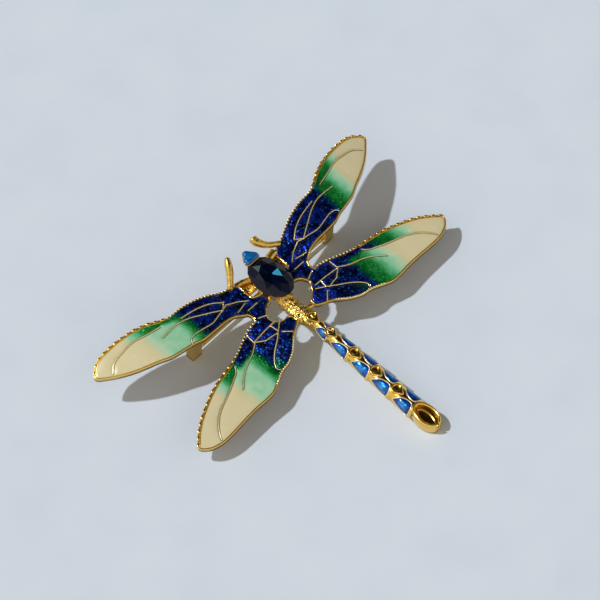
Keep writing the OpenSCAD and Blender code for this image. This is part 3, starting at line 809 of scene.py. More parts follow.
# Ground and polished glass with foil behind it: flat dark facets with hard edges, and a painted
# blue flash
crystal, tree, shader = material("foil_backed_polished_blue_crystal", Roughness=0.04, IOR=1.56,
                                 Specular_IOR_Level=0.3)
shine = add(tree, "ShaderNodeAttribute", attribute_name="painted_flash")
link(tree, shader, Base_Color=ramp_of(tree, shine.outputs["Fac"], PAINTED_FLASH_TONES))
print("stone:", crystal.name)

# %% [markdown]
# ## Wing trays and their enamel
# On the real brooch the tray and its rim are one casting, and the enamel stands a hair below the
# rim. Two solids cut from each other would leave ragged edges here, so both come from the same
# drawing: the rim is rounded by its distance from its own edges, and the enamel is domed by its
# distance from the nearest metal. The thin veins are wires in the gaps between the cells.

# %% Colour along the wings
# For each wing: places along it where blue ends and where green, mint and cream begin, first for
# the main cells and then for the cell at the leading edge.
COLOURS = {
    ("fore", RIGHT): [[(18.6, 0), (20.4, 1), (22.2, 1.1), (24.4, 2), (27.2, 3)],
                      [(18.0, 0), (20.6, 0.9), (25.0, 1.1), (27.2, 2), (29.2, 3)]],
    ("fore", LEFT): [[(15.2, 0), (16.8, 1), (17.6, 1.3), (19.0, 2), (22.6, 2), (27.0, 3)],
                     [(15.6, 0), (18.0, 0.9), (24.0, 1.15), (26.2, 2), (28.6, 3)]],
    ("hind", RIGHT): [[(12.2, 0), (14.2, 1), (16.0, 1.1), (18.6, 2), (22.8, 3)],
                      [(16.6, 0), (20.0, 0.9), (22.8, 1.1), (25.2, 2), (28.4, 3)]],
    ("hind", LEFT): [[(11.0, 0), (12.8, 1), (13.5, 1.15), (15.0, 2), (17.8, 2), (21.4, 3)],
                     [(15.0, 0), (17.0, 0.9), (19.8, 1.1), (21.6, 2), (24.0, 3)]]}
# Where the leading cell begins, and how wide the strip before it is that has the same colours
FRONT_Y = {"fore": 20.8, "hind": 16.9}
STRIP_W = {("fore", RIGHT): 1.9, ("fore", LEFT): 1.9, ("hind", RIGHT): 1.9, ("hind", LEFT): 2.7}
# Colours of the rear lobe behind its vein, which ends at this place along the wing
LOBE = [(5, 0), (9, 0.15), (11.5, 0.8)]
LOBE_END = 12


def stage_of(points, side, front):
    """Stage of the enamel's colour: 0 blue, 1 green, 2 mint, 3 cream."""
    wing = "fore" if front else "hind"
    flat = turn(points, -(FORE_SWEEP if front else HIND_SWEEP)[side])
    vein = spline((FORE_VEINS if front else HIND_VEINS)[0])
    first = (flat[:, 1] > FRONT_Y[wing]) & (flat[:, 0] < np.interp(flat[:, 1], vein[:, 1], vein[:, 0]))
    main, leading = (np.interp(flat[:, 1], *np.array(c).T) for c in COLOURS[wing, side])
    rows = np.array(FORE_ROWS if front else HIND_ROWS)
    inwards = flat[:, 0] - np.interp(flat[:, 1], rows[:, 0], rows[:, 1])
    near_root = np.where(flat[:, 1] > FRONT_Y[wing], 0, np.clip(STRIP_W[wing, side] - inwards, 0, 1))
    share = np.where(first, 1, near_root)
    stage = share * leading + (1 - share) * main
    if not front:
        lobe = spline(HIND_VEINS[2])
        behind = (flat[:, 1] < LOBE_END) & (flat[:, 0] > np.interp(flat[:, 1], lobe[:, 1], lobe[:, 0]))
        stage = np.where(behind, np.interp(flat[:, 1], *np.array(LOBE).T), stage)
    return stage


print("the right forewing turns green at", COLOURS["fore", RIGHT][0][1][0], "mm")


# %% Loops and edges of the trays
# Insets of the lines that round a rim, the same for an opening as shares of its rim, how far the
# edges drop, and the gap round each enamel
RIM_STEPS = (0.05, 0.11, 0.17, 0.24)
RIM_SHARES = (0.3, 0.65)
ROUNDING = 0.15
GAP = 0.04
# Field in which the enamel belongs to the forewing
SPLIT = [(1.5, 0), (1.5, 6.9), (2.9, 7.6), (2.9, 40), (-20, 40), (-20, 0)]


def loops_at(w, side):
    """Loops of forewing, hindwing and bar, inset by w."""
    return [wing_loop(FORE_ROWS, FORE_TIP, w, FORE_SWEEP[side]),
            wing_loop(HIND_ROWS, HIND_TIP, w, HIND_SWEEP[side]), bridge_loop(w)]


def edge_part(rows, end, degrees, span, w, leading=True):
    """Part of a leading or trailing edge, between two places along the wing, inset by w."""
    edge = outline(rows, end)
    top = np.argmax(edge[:, 1])
    edge = inset(edge, w)[:top] if leading else inset(edge, w)[top:]
    return turn(edge[(edge[:, 1] >= span[0]) & (edge[:, 1] <= span[1])], degrees)


def leads(side, fore, hind, w):
    """Stretches of both leading edges of one side."""
    return [edge_part(FORE_ROWS, FORE_TIP, FORE_SWEEP[side], fore, w),
            edge_part(HIND_ROWS, HIND_TIP, HIND_SWEEP[side], hind, w)]


print("leading edge of the right forewing:", len(leads(RIGHT, (5, 35), (8, 32), 0)[0]), "points")

# %% Trays
# Stretches of the leading edges with painted shade between their grains, fore and hind, how far in
# they lie, how far the shade reaches, how strong it is along the wing, and how strong on the back
DARK_SPANS = (5, 35), (8.3, 32.5)
DARK_IN = 0.1
DARK_REACH = 0.3
DARK_ALONG = [(15, 0.9), (26, 0.35)]
PAINTED_SHADE_BACK = 0.8


def tray(side):
    """One side's casting: rims with rounded edges, a sunk bed, and a flat back."""
    outer, inner = loops_at(0, side), loops_at(RIM, side)
    centre, radius = OPENING[side]
    loops = outer + [ring(centre, radius)] + inner + [ring(centre, radius + OPENING_RIM)]
    steps = [loop for w in RIM_STEPS for loop in loops_at(w, side)]
    steps += [ring(centre, radius + OPENING_RIM * k) for k in RIM_SHARES]
    points, triangles, inside = plan(loops, lines=steps)
    # Loops 0 to 2 are the outer edges, 3 the opening, 4 to 6 the inner edges, 7 the opening's rim
    solid = [(t, s) for t, s in zip(triangles, inside) if s & {0, 1, 2} and 3 not in s]
    bed = [bool(s & {4, 5, 6}) and 7 not in s for t, s in solid]
    rim = [t for (t, s), b in zip(solid, bed) if not b]
    floor = [t for (t, s), b in zip(solid, bed) if b]
    height = wing_height(points, side)
    edge = sorted({i for e in free_edges(rim) for i in e})
    away = np.minimum(nearest(points, points[edge]), RIM / 2) / (RIM / 2)
    top = height - ROUNDING * (1 - np.sqrt(np.maximum(0, 1 - (1 - away) ** 2)))
    n = len(points)
    flat = np.column_stack([points, top])
    sunk = np.column_stack([points, height - BED])
    base = np.column_stack([points, height - WING_T])
    faces = rim + [tuple(n + i for i in t) for t in floor]
    faces += [tuple(2 * n + i for i in reversed(t)) for t in rim + floor]
    outside = set(free_edges(rim + floor))
    faces += [(b, a, 2 * n + a, 2 * n + b) for a, b in outside if (a, b) in set(free_edges(rim))]
    faces += [(b, a, n + a, n + b) for a, b in free_edges(rim) if (a, b) not in outside]
    stacked = np.vstack([flat, sunk, base]) * (1, side, 1)
    if side == LEFT:
        faces = [tuple(reversed(f)) for f in faces]
    # Brown painted shade lies between the grains of the leading edges, less of it towards the tips,
    # and over the whole back
    grain_rows = np.vstack(leads(side, *DARK_SPANS, DARK_IN))
    gap = np.clip(1.5 - nearest(points, grain_rows) / DARK_REACH, 0, 1)
    gap = gap * np.interp(points[:, 1], *np.array(DARK_ALONG).T)
    gap = np.concatenate([gap, gap, np.full(n, PAINTED_SHADE_BACK)])
    used = sorted({i for f in faces for i in f})
    index = {old: new for new, old in enumerate(used)}
    faces = [tuple(index[i] for i in f) for f in faces]
    return new_piece("tray", stacked[used], faces, gold, values={"gap": gap[used]})


gold_parts = [tray(side) for side in SIDES.values()]
print("trays:", [len(part.data.polygons) for part in gold_parts], "faces")

# %% Enamel of the wings
# Width of the gap that a vein leaves, depth of the enamel's edge below the rim, how far its
# middle rises, and over what distance
VEIN_W = 0.26
ENAMEL_LOW = 0.13
ENAMEL_DOME = 0.13
DOME_REACH = 0.45
# Points inside the cells let the enamel dome: insets of drawn lines, then the field that rows of
# points fill, their pitch, and a shift that keeps them off the drawing's lines
DOME_LINES = (0.5, 0.75, 1.1)
FIELD_X = (-13, 18)
FIELD_Y = (2, 37)
DOT_PITCH = 0.42
OFF_LINE = 0.013


def dots():
    """Even rows of points over one side, every other row set off by half a pitch."""
    xs, ys = np.arange(*FIELD_X, DOT_PITCH), np.arange(*FIELD_Y, DOT_PITCH * 0.87)
    return [(x + (j % 2) * DOT_PITCH / 2 + OFF_LINE, y) for j, y in enumerate(ys) for x in xs]


def enamel_pieces(side, names):
    """Enamel of one side, parted by the veins and split into its forewing and its hindwing."""
    inner = loops_at(RIM + GAP / 2, side)
    veins = vein_paths(side)
    half = VEIN_W / 2 + GAP / 2
    strips = [strip(v, half) for v in veins]
    centre, radius = OPENING[side]
    loops = inner + [ring(centre, radius + OPENING_RIM + GAP / 2)] + [np.array(SPLIT)]
    lines = [loop for w in DOME_LINES for loop in loops_at(w, side)]
    lines += [np.vstack([loop, loop[:1]]) for loop in strips]
    points, triangles, inside = plan(loops, lines=lines, dots=dots())
    middles = points[np.array(triangles)].mean(axis=1)
    clear = nearest(middles, np.vstack([even(v, 0.04) for v in veins])) > half
    # Loops 0 to 2 are the trays, 3 the opening with its rim, 4 the forewing's side of the split
    kept = [(t, s) for t, s, free in zip(triangles, inside, clear) if free and s & {0, 1, 2} and 3 not in s]
    every = [t for t, s in kept]
    edge = sorted({i for e in free_edges(every) for i in e})
    away = nearest(points, points[edge])
    height = wing_height(points, side)
    top = np.column_stack([points, height - ENAMEL_LOW + ENAMEL_DOME * (1 - np.exp(-away / DOME_REACH))])
    low = np.column_stack([points, height - BED + GAP])
    made = []
    for name, front in names:
        part = [t for t, s in kept if (4 in s) == front]
        slab, faces = wrap(top, low, part, side)
        plan_points = np.column_stack([slab[:, 0], side * slab[:, 1]])
        made.append(new_piece(name, slab, faces, enamel,
                              values={"stage": stage_of(plan_points, side, front)}))
    return made


for name, side in SIDES.items():
    fore, hind = enamel_pieces(side, [(f"forewing_enamel_{name}", True), (f"hindwing_enamel_{name}", False)])
    for piece, node, slot in ((fore, f"enamel_forewing_{name}", "enamel_forewing"),
                              (hind, f"enamel_hindwing_{name}", "enamel_hindwing")):
        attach(piece, "root")
        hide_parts(node)
    print(name, "enamel", len(fore.data.polygons), "and", len(hind.data.polygons), "faces")

# %% [markdown]
# ## Veins, milgrain and rims
# The veins are fine wires, paler than the rest: a pale gold with a painted sheen. The leading
# edges carry milgrain: small round grains close together at the root, and long ones towards the
# tip with a plain thread inside them. The rear lobes have a much finer row. A bump pattern would
# be quicker, but the grains break the outline and catch the sun one by one, so they are real.

# %% Wires on the wings
# Radius of veins and threads, and how far in a thread lies
VEIN_R = 0.105
THREAD_R = 0.12
THREAD_IN = 0.5
# Stretches of the edges, fore and hind, and heights over the rim
THREAD_SPANS = (20, 35.5), (17, 32.8)
ROOT_SPANS = (5.5, 19.0), (8.5, 15.5)
TIP_SPANS = (19.6, 35.4), (16.2, 32.9)
LOBE_SPAN = (5.5, 14.5)
VEIN_LIFT = 0.015
THREAD_LIFT = -0.05
GRAIN_LIFT = -0.08
# Insets of the rows of grains, and for each row its pitch and a grain's length, width and height
ROOT_IN = 0.12
GRAIN_IN = 0.14
ROOT_GRAINS = (0.66, 0.42, 0.46, 0.44)
TIP_GRAINS = (1.32, 1.12, 0.6, 0.46)
LOBE_GRAINS = (0.5, 0.4, 0.36, 0.34)
KNOT = (1.0, 0.34, 0.34, 0.3)
KNOTS = [(-2.8, 9.3), (-1.6, 10.6), (-2.1, 9.4), (6.7, 11.0), (8.1, 9.3), (8.6, 6.9)]


def on_wing(paths, side, lift):
    """Paths of one side at a height above the rims."""
    return [np.column_stack([p, wing_height(p, side) + lift]) * (1, side, 1) for p in paths]


for side in SIDES.values():
    gold_parts.append(wire("veins", on_wing(vein_paths(side), side, VEIN_LIFT), VEIN_R, gold_pale, 8))
    threads = on_wing(leads(side, *THREAD_SPANS, THREAD_IN), side, THREAD_LIFT)
    gold_parts.append(wire("threads", threads, THREAD_R, gold, 8))
    near = on_wing(leads(side, *ROOT_SPANS, ROOT_IN), side, GRAIN_LIFT)
    gold_parts.append(grains("grains_root", near, *ROOT_GRAINS, gold_pale, 3))
    far = on_wing(leads(side, *TIP_SPANS, GRAIN_IN), side, GRAIN_LIFT)
    gold_parts.append(grains("grains_tip", far, *TIP_GRAINS, gold, 4))
    lobe = edge_part(HIND_ROWS, HIND_TIP, HIND_SWEEP[side], LOBE_SPAN, GRAIN_IN, leading=False)
    gold_parts.append(grains("grains_lobe", on_wing([lobe], side, THREAD_LIFT), *LOBE_GRAINS, gold_pale, 5))
    # A knot is one grain on a path too short for a second
    spots = on_wing([[k, (k[0] + 0.02, k[1] + 0.02)] for k in KNOTS], side, 0.0)
    gold_parts.append(grains("knots", spots, *KNOT, gold, 6))
print("wires and grains:", sum(len(o.data.polygons) for o in gold_parts[2:]), "faces")

# %% [markdown]
# ## Thorax, tail and head
# The tail is one half-round bar. Its flanks are sunk where the enamel cells lie, and each cell
# has a thin raised border. Cutting the cells out with booleans would leave long thin faces, so
# the skin has a section every tenth of a millimetre and is pushed in where a cell lies. The ridge
# between the openings looks hammered, so its skin has real relief, and not a painted pattern.

# %% Tail tables
# Place along the tail, half width and crest; then the height of its foot and of its side walls
TAIL_ROWS = [
    (9.0, 1.5, 1.9), (11.0, 1.25, 2.3), (12.5, 1.15, 2.4), (15.6, 1.4, 2.45), (16.4, 1.3, 2.45),
    (20.6, 1.75, 2.5), (21.8, 1.6, 2.5), (26.2, 1.95, 2.5), (27.15, 1.75, 2.5), (31.65, 2.0, 2.5),
    (32.7, 1.85, 2.5), (37.0, 2.1, 2.5), (38.3, 1.95, 2.5), (39.0, 1.9, 2.4)]
TAIL_BASE = 0.45
TAIL_WALL = 0.75
CELLS = [(12.6, 15.5), (16.6, 20.8), (22.1, 26.3), (27.3, 31.5), (32.8, 36.9)]
# Outline of a cell: share of its length, and degrees up the flank from its foot to the crest
CELL_SHAPE = [(0, 25), (0.14, 48), (0.28, 66), (0.46, 78), (0.68, 83), (0.85, 81), (0.95, 66), (1.0, 42),
              (1.0, 20), (0.94, 5), (0.75, 3), (0.4, 9), (0.15, 18)]
# Millimetres round the flank for each radian, and how full the flank's curve is
ROUND_K = 1.9
FULL = 0.85
# Points round the tail's flanks and round a cell, and the end of the tail inside the bezel's wall
TAIL_SIDES = 44
CELL_N = 56
TAIL_STOP = 37.3


print("tail from", TAIL_ROWS[0][0], "to", TAIL_ROWS[-1][0], "mm, with", len(CELLS), "cells on each flank")


# %% Sections and cells of the tail
def section(x, half, high, low, wall, n):
    """Half-round section: a low wall, and flanks up to a rounded crest."""
    a = np.linspace(0, math.pi, n)
    y = half * np.cos(a)
    z = wall + (high - wall) * np.sin(a) ** FULL
    y = np.concatenate([[half * 0.9, half], y, [-half, -half * 0.9]])
    z = np.concatenate([[low, low + 0.1], z, [low + 0.1, low]])
    return np.column_stack([np.full(len(y), x), y, z])


def between(rows, step):
    """Rows of a table, smoothly filled in at even steps."""
    rows = np.array(rows)
    fine = spline(rows, 10)
    xs = np.arange(rows[0, 0], rows[-1, 0] + step / 2, step)
    return np.column_stack([xs] + [np.interp(xs, fine[:, 0], fine[:, k]) for k in (1, 2)])


def closed_even(loop, n):
    """Closed loop with n points at even steps."""
    path = np.vstack([loop, loop[:1]])
    run = np.append(0, np.cumsum(np.linalg.norm(np.diff(path, axis=0), axis=1)))
    places = np.linspace(0, run[-1], n, endpoint=False)
    return np.stack([np.interp(places, run, column) for column in path.T], axis=1)


def cell_outline(cell, w=0.0):
    """Outline of one tail cell on its flank: place along the tail, and way round the section."""
    x0, x1 = cell
    loop = np.array([(x0 + f * (x1 - x0), math.radians(a) * ROUND_K) for f, a in CELL_SHAPE])
    loop = closed_even(spline(np.vstack([loop[-2:], loop, loop[:1]]), 8)[16:-8], CELL_N)
    middle = loop.mean(axis=0)
    away = loop - middle
    return middle + away * (1 - w / np.linalg.norm(away, axis=1))[:, None]


print("outline of the first cell:", len(cell_outline(CELLS[0])), "points")

# %% Points on the flanks
# A raised point leaves the flank in its own direction, but not flatter than this, in radians
LEAST_LEAN = 0.35
TAIL_FINE = between(TAIL_ROWS, 0.1)
TAIL_FINE = TAIL_FINE[TAIL_FINE[:, 0] < TAIL_STOP]


def on_flank(side, places, lift):
    """Points of a flank from places along the tail and round it, raised from the skin."""
    x, a = places[:, 0], places[:, 1] / ROUND_K
    half, high = (np.interp(x, TAIL_FINE[:, 0], TAIL_FINE[:, k]) for k in (1, 2))
    lean = np.maximum(a, LEAST_LEAN)
    y = half * np.cos(a) + lift * np.cos(lean)
    z = TAIL_WALL + (high - TAIL_WALL) * np.sin(np.maximum(a, 0)) ** FULL + lift * np.sin(lean)
    return np.column_stack([x, side * y, z])


print("tail:", len(TAIL_FINE), "sections, crest", TAIL_FINE[:, 2].max().round(2), "mm")

# %% Tail with its sunk cells
# Depth of a cell, and the width of the slope round it
SINK = 0.22
SLOPE = 0.12


def tail_skin():
    """Closed skin of the tail, pushed in where its cells lie."""
    rings = np.array([section(x, half, high, TAIL_BASE, TAIL_WALL, TAIL_SIDES)
                      for x, half, high in TAIL_FINE])
    flank = np.linspace(0, math.pi, TAIL_SIDES)
    round_to = np.concatenate([[0, 0], flank, [math.pi, math.pi]]) * ROUND_K
    for side in (RIGHT, LEFT):
        v = round_to if side == RIGHT else math.pi * ROUND_K - round_to
        u, v = np.meshgrid(TAIL_FINE[:, 0], v, indexing="ij")
        for cell in CELLS:
            loop = cell_outline(cell)
            near = (u > cell[0]) & (u < cell[1]) & (v < math.pi / 2 * ROUND_K)
            ahead = np.roll(loop, -1, axis=0) - loop
            ahead /= np.linalg.norm(ahead, axis=1)[:, None]
            away = (ahead[:, 1] * (u[near][:, None] - loop[:, 0])
                    - ahead[:, 0] * (v[near][:, None] - loop[:, 1]))
            depth = np.clip(away.min(axis=1) / SLOPE, 0, 1) * SINK
            lean = np.maximum(v[near] / ROUND_K, LEAST_LEAN)
            rings[near] -= depth[:, None] * np.column_stack(
                [np.zeros(len(lean)), side * np.cos(lean), np.sin(lean)])
    return loft(rings, "tail", gold)


tail = tail_skin()
gold_parts.append(tail)
print("tail", len(tail.data.polygons), "faces")

# %% Enamel of the tail
# Rings of a cell's enamel: share of its outline and height over the skin, from its underside
# round its edge to its middle
CELL_RINGS = [(0.5, -0.2), (1.0, -0.2), (1.0, -0.08), (0.96, 0.0), (0.88, 0.05), (0.76, 0.09),
              (0.6, 0.12), (0.42, 0.14), (0.22, 0.15)]
CELL_GAP = 0.06
# Stage at a cell's middle, where its enamel is painted lighter as a highlight
CELL_HIGHLIGHT = 1.2
BORDER_R = 0.1


def tail_cell(cell, side):
    """Domed enamel of one cell, painted lighter and more cyan towards its middle as a highlight."""
    loop = cell_outline(cell, CELL_GAP)
    middle = loop.mean(axis=0)
    rings = [on_flank(side, middle + (loop - middle) * k, lift) for k, lift in CELL_RINGS]
    highlight_tones = [np.interp(k, (2, len(rings) - 1), (0, CELL_HIGHLIGHT)) for k in range(len(rings)) for _ in loop]
    return loft(rings, "tail_cell", enamel_blue, {"stage": highlight_tones + [CELL_HIGHLIGHT] * 2}, flip=side == LEFT)


def border(cell, side):
    """Path of the raised border of one cell, which overlaps its own start."""
    around = cell_outline(cell)
    return on_flank(side, np.vstack([around, around[:2]]), 0.03)


tail_enamel = join("tail_enamel", [tail_cell(cell, side) for side in (RIGHT, LEFT) for cell in CELLS])
borders = [border(cell, side) for side in (RIGHT, LEFT) for cell in CELLS]
gold_parts.append(wire("borders", borders, BORDER_R, gold_pale, 8))
print("tail enamel:", len(borders), "cells,", len(tail_enamel.data.polygons), "faces")

# %% [markdown]
# ## Cups and bezel
# Five small cups stand along the tail, each drawn out to a point behind, and an open oval bezel
# ends it. They are turned shapes with an odd outline, so each is one skin over rings that run up
# the outside, over the lip and down into the hollow. The hollows are painted dark brown, as shade.

# %% Cups on the tail
# Places along the tail; radius, height of the foot and of the lip over it; reach and radius of
# the point behind, and radius of the hole
CUPS = [10.8, 15.3, 21.5, 26.8, 32.2]
CUP_R = 1.02
CUP_Z = 2.5
CUP_H = 0.35
CUP_POINT = 1.6
CUP_POINT_R = 0.25
CUP_HOLE = 0.66
CUP_N = 64
# Rings up the outside as share of the outline and height, and rings down the hole as radius and
# height
CUP_OUTSIDE = [(0.3, -1.0), (1.14, -1.0), (1.08, -0.5), (1.0, 0.1), (0.985, CUP_H - 0.1),
               (0.94, CUP_H - 0.02), (0.88, CUP_H)]
CUP_INSIDE = [(0.78, CUP_H), (0.7, CUP_H - 0.03), (CUP_HOLE, CUP_H - 0.12), (CUP_HOLE * 0.86, -0.1),
              (CUP_HOLE * 0.6, -0.34), (CUP_HOLE * 0.3, -0.42)]


def pointed(angle, radius):
    """Distance from a cup's middle to its outline, a circle drawn out to a point behind."""
    angle = abs((angle + math.pi) % (2 * math.pi) - math.pi)
    k = radius / CUP_R
    lean = math.acos((CUP_R - CUP_POINT_R) / CUP_POINT)
    if angle > lean:
        return radius
    reach = CUP_R / math.cos(lean - angle)
    end = CUP_POINT + CUP_POINT_R
    return k * min(reach, end / max(math.cos(angle), 0.1))


def cup(x):
    """A cup whose point bends down behind it, with painted shade in its hole."""
    angles = [2 * math.pi * i / CUP_N for i in range(CUP_N)]
    rings = [[(share * pointed(a, CUP_R), z) for a in angles] for share, z in CUP_OUTSIDE]
    rings += [[(r, z)] * CUP_N for r, z in CUP_INSIDE]
    points, dark = [], []
    for k, one in enumerate(rings):
        for a, (r, z) in zip(angles, one):
            drop = 0.5 * max(0, r - 1.1) if 1 < k < len(CUP_OUTSIDE) else 0
            points.append((x + r * math.cos(a), r * math.sin(a), CUP_Z + z - drop))
            # Painted shade, deeper down the hole and darkest at its bottom
            dark.append(min(1.0, 0.35 * max(0, k - len(CUP_OUTSIDE) - 1)))
    points = np.array(points).reshape(len(rings), CUP_N, 3)
    return loft(points, "cup", gold, values={"gap": dark + [0.0, 1.0]})


gold_parts += [cup(x) for x in CUPS]
print("cups:", len(CUPS), "of", len(gold_parts[-1].data.polygons), "faces")

# %% Open bezel at the end of the tail
# Middle, half length, half width and height; half width and floor of the notch at its far end
BEZEL = (39.75, 0.0)
BEZEL_A = 3.15
BEZEL_B = 2.05
BEZEL_H = 2.7
NOTCH = 0.26
NOTCH_Z = 1.5
BEZEL_N = 120
# Inset and height of each ring: underside, outer wall, rounded lip, inner wall and bowl
BEZEL_ROWS = [
    (1.4, 0.0), (0.1, 0.0), (0.02, 0.5), (0.0, 1.6), (0.02, BEZEL_H - 0.42), (0.07, BEZEL_H - 0.24),
    (0.16, BEZEL_H - 0.1), (0.27, BEZEL_H - 0.02), (0.38, BEZEL_H), (0.49, BEZEL_H - 0.04),
    (0.6, BEZEL_H - 0.14), (0.69, BEZEL_H - 0.32), (0.74, BEZEL_H - 0.6), (0.85, 1.5), (1.0, 1.2),
    (1.4, 1.1), (1.8, 1.08)]


def bezel():
    """The open bezel, with painted shade in its bowl."""
    points, dark = [], []
    for w, z in BEZEL_ROWS:
        for a in 2 * math.pi * np.arange(BEZEL_N) / BEZEL_N:
            p = [BEZEL[0] + (BEZEL_A - w) * math.cos(a), (BEZEL_B - w) * math.sin(a), z]
            if math.cos(a) > 0 and abs(p[1]) < NOTCH and w < 0.8:
                p[2] = min(z, NOTCH_Z)
            points.append(p)
            # Painted shade on the inner rings of the bowl, and at its middle
            dark.append(min(1, max(0, (w - 0.7) / 0.3)) * 0.6 if z > 0.5 else 0)
    points = np.array(points).reshape(len(BEZEL_ROWS), BEZEL_N, 3)
    return loft(points, "bezel", gold, values={"gap": dark + [0, 0.75]})


gold_parts.append(bezel())
print("bezel", 2 * BEZEL_A, "by", 2 * BEZEL_B, "mm")

# %% [markdown]
# ## Ridge and webs
# The ridge between the openings was carved roughly in the wax before casting, as lumps with
# creases between them. Sculpting them by hand would be one way. Here a cell pattern moves every
# point of a plain skin in or out, which gives the same broken mirrors and stays the same each
# time. Round webs tie the ridge and the neck to the wings, as sprues that were left in place.

# %% Ridge and webs
# Place, half width and crest of the ridge, and how much wider it is on its left
RIDGE_ROWS = [(3.0, 1.1, 2.6), (5.0, 1.1, 2.2), (7.0, 1.1, 2.1), (8.6, 1.5, 2.1), (10.4, 1.4, 2.2),
              (12.4, 1.2, 2.3)]
RIDGE_LEFT = [(3.0, 0.3), (5.0, 0.6), (7.0, 0.7), (8.6, 0.4), (10.4, 0.1), (12.4, 0)]
# How much wider and higher its skin is before the lumps are pushed in, its foot, side walls,
# points round and step
RIDGE_OVER = (0.1, 0.12)
RIDGE_BASE = 0.4
RIDGE_WALL = 0.6
RIDGE_N = 48
RIDGE_STEP = 0.09
# Size and depth of the lumps, the height from which they spread, and the lowest point moved
LUMP = 0.95
LUMP_H = 0.42
LUMP_FROM = 0.9
LUMP_LOW = 0.7
WEB_R = 0.5


def relief(p, size, depth):
    """Hammered relief at a point: rounded lumps with creases between them."""
    return depth * (0.5 - noise.voronoi([c / size for c in p])[0][0]) + depth * 0.5 * noise.noise(
        [c / size * 2.1 for c in p])


ridge_rings = []
for x, half, high in between(RIDGE_ROWS, RIDGE_STEP):
    one = section(x, half + RIDGE_OVER[0], high + RIDGE_OVER[1], RIDGE_BASE, RIDGE_WALL, RIDGE_N)
    one[:, 1] *= np.where(one[:, 1] < 0, 1 + np.interp(x, *np.array(RIDGE_LEFT).T), 1)
    lumpy = []
    for p in one:
        away = np.array((0, p[1], p[2] - LUMP_FROM))
        away /= np.linalg.norm(away)
        lumpy.append(p + away * relief(p, LUMP, LUMP_H) * (p[2] > LUMP_LOW))
    ridge_rings.append(lumpy)
gold_parts.append(loft(ridge_rings, "ridge", gold_hammered))
webs = [spline([(8.2, s * 0.6, 1.2), (8.5, s * 1.9, 1.0), (8.7, s * 2.9, 1.1)]) for s in (RIGHT, LEFT)]
webs += [spline([(3.2, s * 1.0, 1.7), (2.2, s * 1.9, 1.6), (1.6, s * 2.7, 1.5)]) for s in (RIGHT, LEFT)]
arms = [spline([(-4.0, s * 5.2, 1.7), (-3.7, s * 3.5, 1.65), (-3.0, s * 1.9, 1.5)]) for s in (RIGHT, LEFT)]
sizes = [[1.0] * len(p) for p in webs] + [[k] * len(p) for k, p in zip((1.75, 1.1), arms)]
gold_parts.append(wire("webs", webs + arms, WEB_R, gold_hammered, 16, sizes))
print("ridge and webs", sum(len(o.data.polygons) for o in gold_parts[-2:]), "faces")

# %% [markdown]
# ## Cup of the stone, head and forelegs
# The crystal stands in a plain tapered cup, which is a skin over rings like the bezel. In front
# of it, a small three-cornered head is carried on a short neck. Legs and neck are swept wires
# whose thickness changes along the path: a modelled mesh could have more shape, but at their
# size the eye sees a bent rod with a blob of light on it.

# %% Stone cup
# The stone's length and width, height and thickness of its girdle, and the lip of its cup
STONE_L = 9.7
STONE_W = 6.4
GIRDLE_Z = 3.65
GIRDLE_T = 0.25
LIP_Z = GIRDLE_Z - GIRDLE_T - GAP


def oval(share, z, n=96):
    """Oval ring of a share of the stone's size."""
    a = 2 * math.pi * np.arange(n) / n
    return np.column_stack([STONE_L / 2 * share * np.cos(a), STONE_W / 2 * share * np.sin(a), np.full(n, z)])


cup_rings = [oval(0.4, 0.9), oval(0.8, 0.9), oval(0.83, 1.0), oval(0.9, 2.0), oval(0.96, LIP_Z - 0.25),
             oval(0.975, LIP_Z - 0.06), oval(0.965, LIP_Z), oval(0.945, LIP_Z), oval(0.93, LIP_Z - 0.05),
             oval(0.6, LIP_Z - 1.0), oval(0.38, LIP_Z - 1.35)]
gold_parts.append(loft(cup_rings, "stone_cup", gold))
print("lip of the stone's cup at", round(LIP_Z, 2), "mm")

# %% Forelegs and neck
# Paths, each with its thickness as shares of LEG_R from its root to its tip
LEG_R = 0.5
RIGHT_LEG = [(-4.2, 7.2, 2.2), (-4.5, 6.7, 2.3), (-5, 5.5, 2.8), (-5.65, 4.45, 3.3), (-6.9, 3.45, 4),
             (-8.0, 3.3, 4.5)]
RIGHT_THICK = (1.2, 1.15, 1.25, 1.45, 1.7, 1.6)
LEFT_LEG = [(-3.9, -6.6, 2.2), (-4.15, -6.2, 2.3), (-5.9, -4.5, 3.5), (-7.2, -3.6, 4.1), (-8.3, -2.85, 4.45)]
LEFT_THICK = (1.2, 1.2, 1.4, 1.5, 1.0)
NECK = [(-4.2, 0, 1.6), (-5.2, 0, 1.8), (-5.65, 0, 2.4), (-5.65, 0, 4.3)]
NECK_THICK = (1.3, 1.2, 1.1, 1.2)
# Step between points of a leg, and length over which its ends are rounded
LEG_STEP = 0.08
LEG_END = 0.35


def taper(path, sizes):
    """Smooth path with its thickness at each point, and round ends."""
    path = even(spline(path), LEG_STEP)
    along = np.linspace(0, 1, len(path))
    thick = np.interp(along, np.linspace(0, 1, len(sizes)), sizes)
    run = np.minimum(np.arange(len(path)), np.arange(len(path))[::-1]) * LEG_STEP
    return path, thick * np.sqrt(np.clip(1 - (1 - np.minimum(run / LEG_END, 1)) ** 2, 0.01, 1))


legs = [taper(RIGHT_LEG, RIGHT_THICK), taper(LEFT_LEG, LEFT_THICK), taper(NECK, NECK_THICK)]
gold_parts.append(wire("legs", [p for p, t in legs], LEG_R, gold_hammered, 20, [t for p, t in legs]))
print("legs and neck:", len(gold_parts[-1].data.polygons), "faces")

# %% Head
# Height of the head's top; place of its tip and the radius there; place of its base, half width
# and corner radius there
HEAD_Z = 5.1
HEAD_TIP = (-6.95, 0.75)
HEAD_BASE = (-4.8, 1.75, 0.8)
HEAD_N = 64
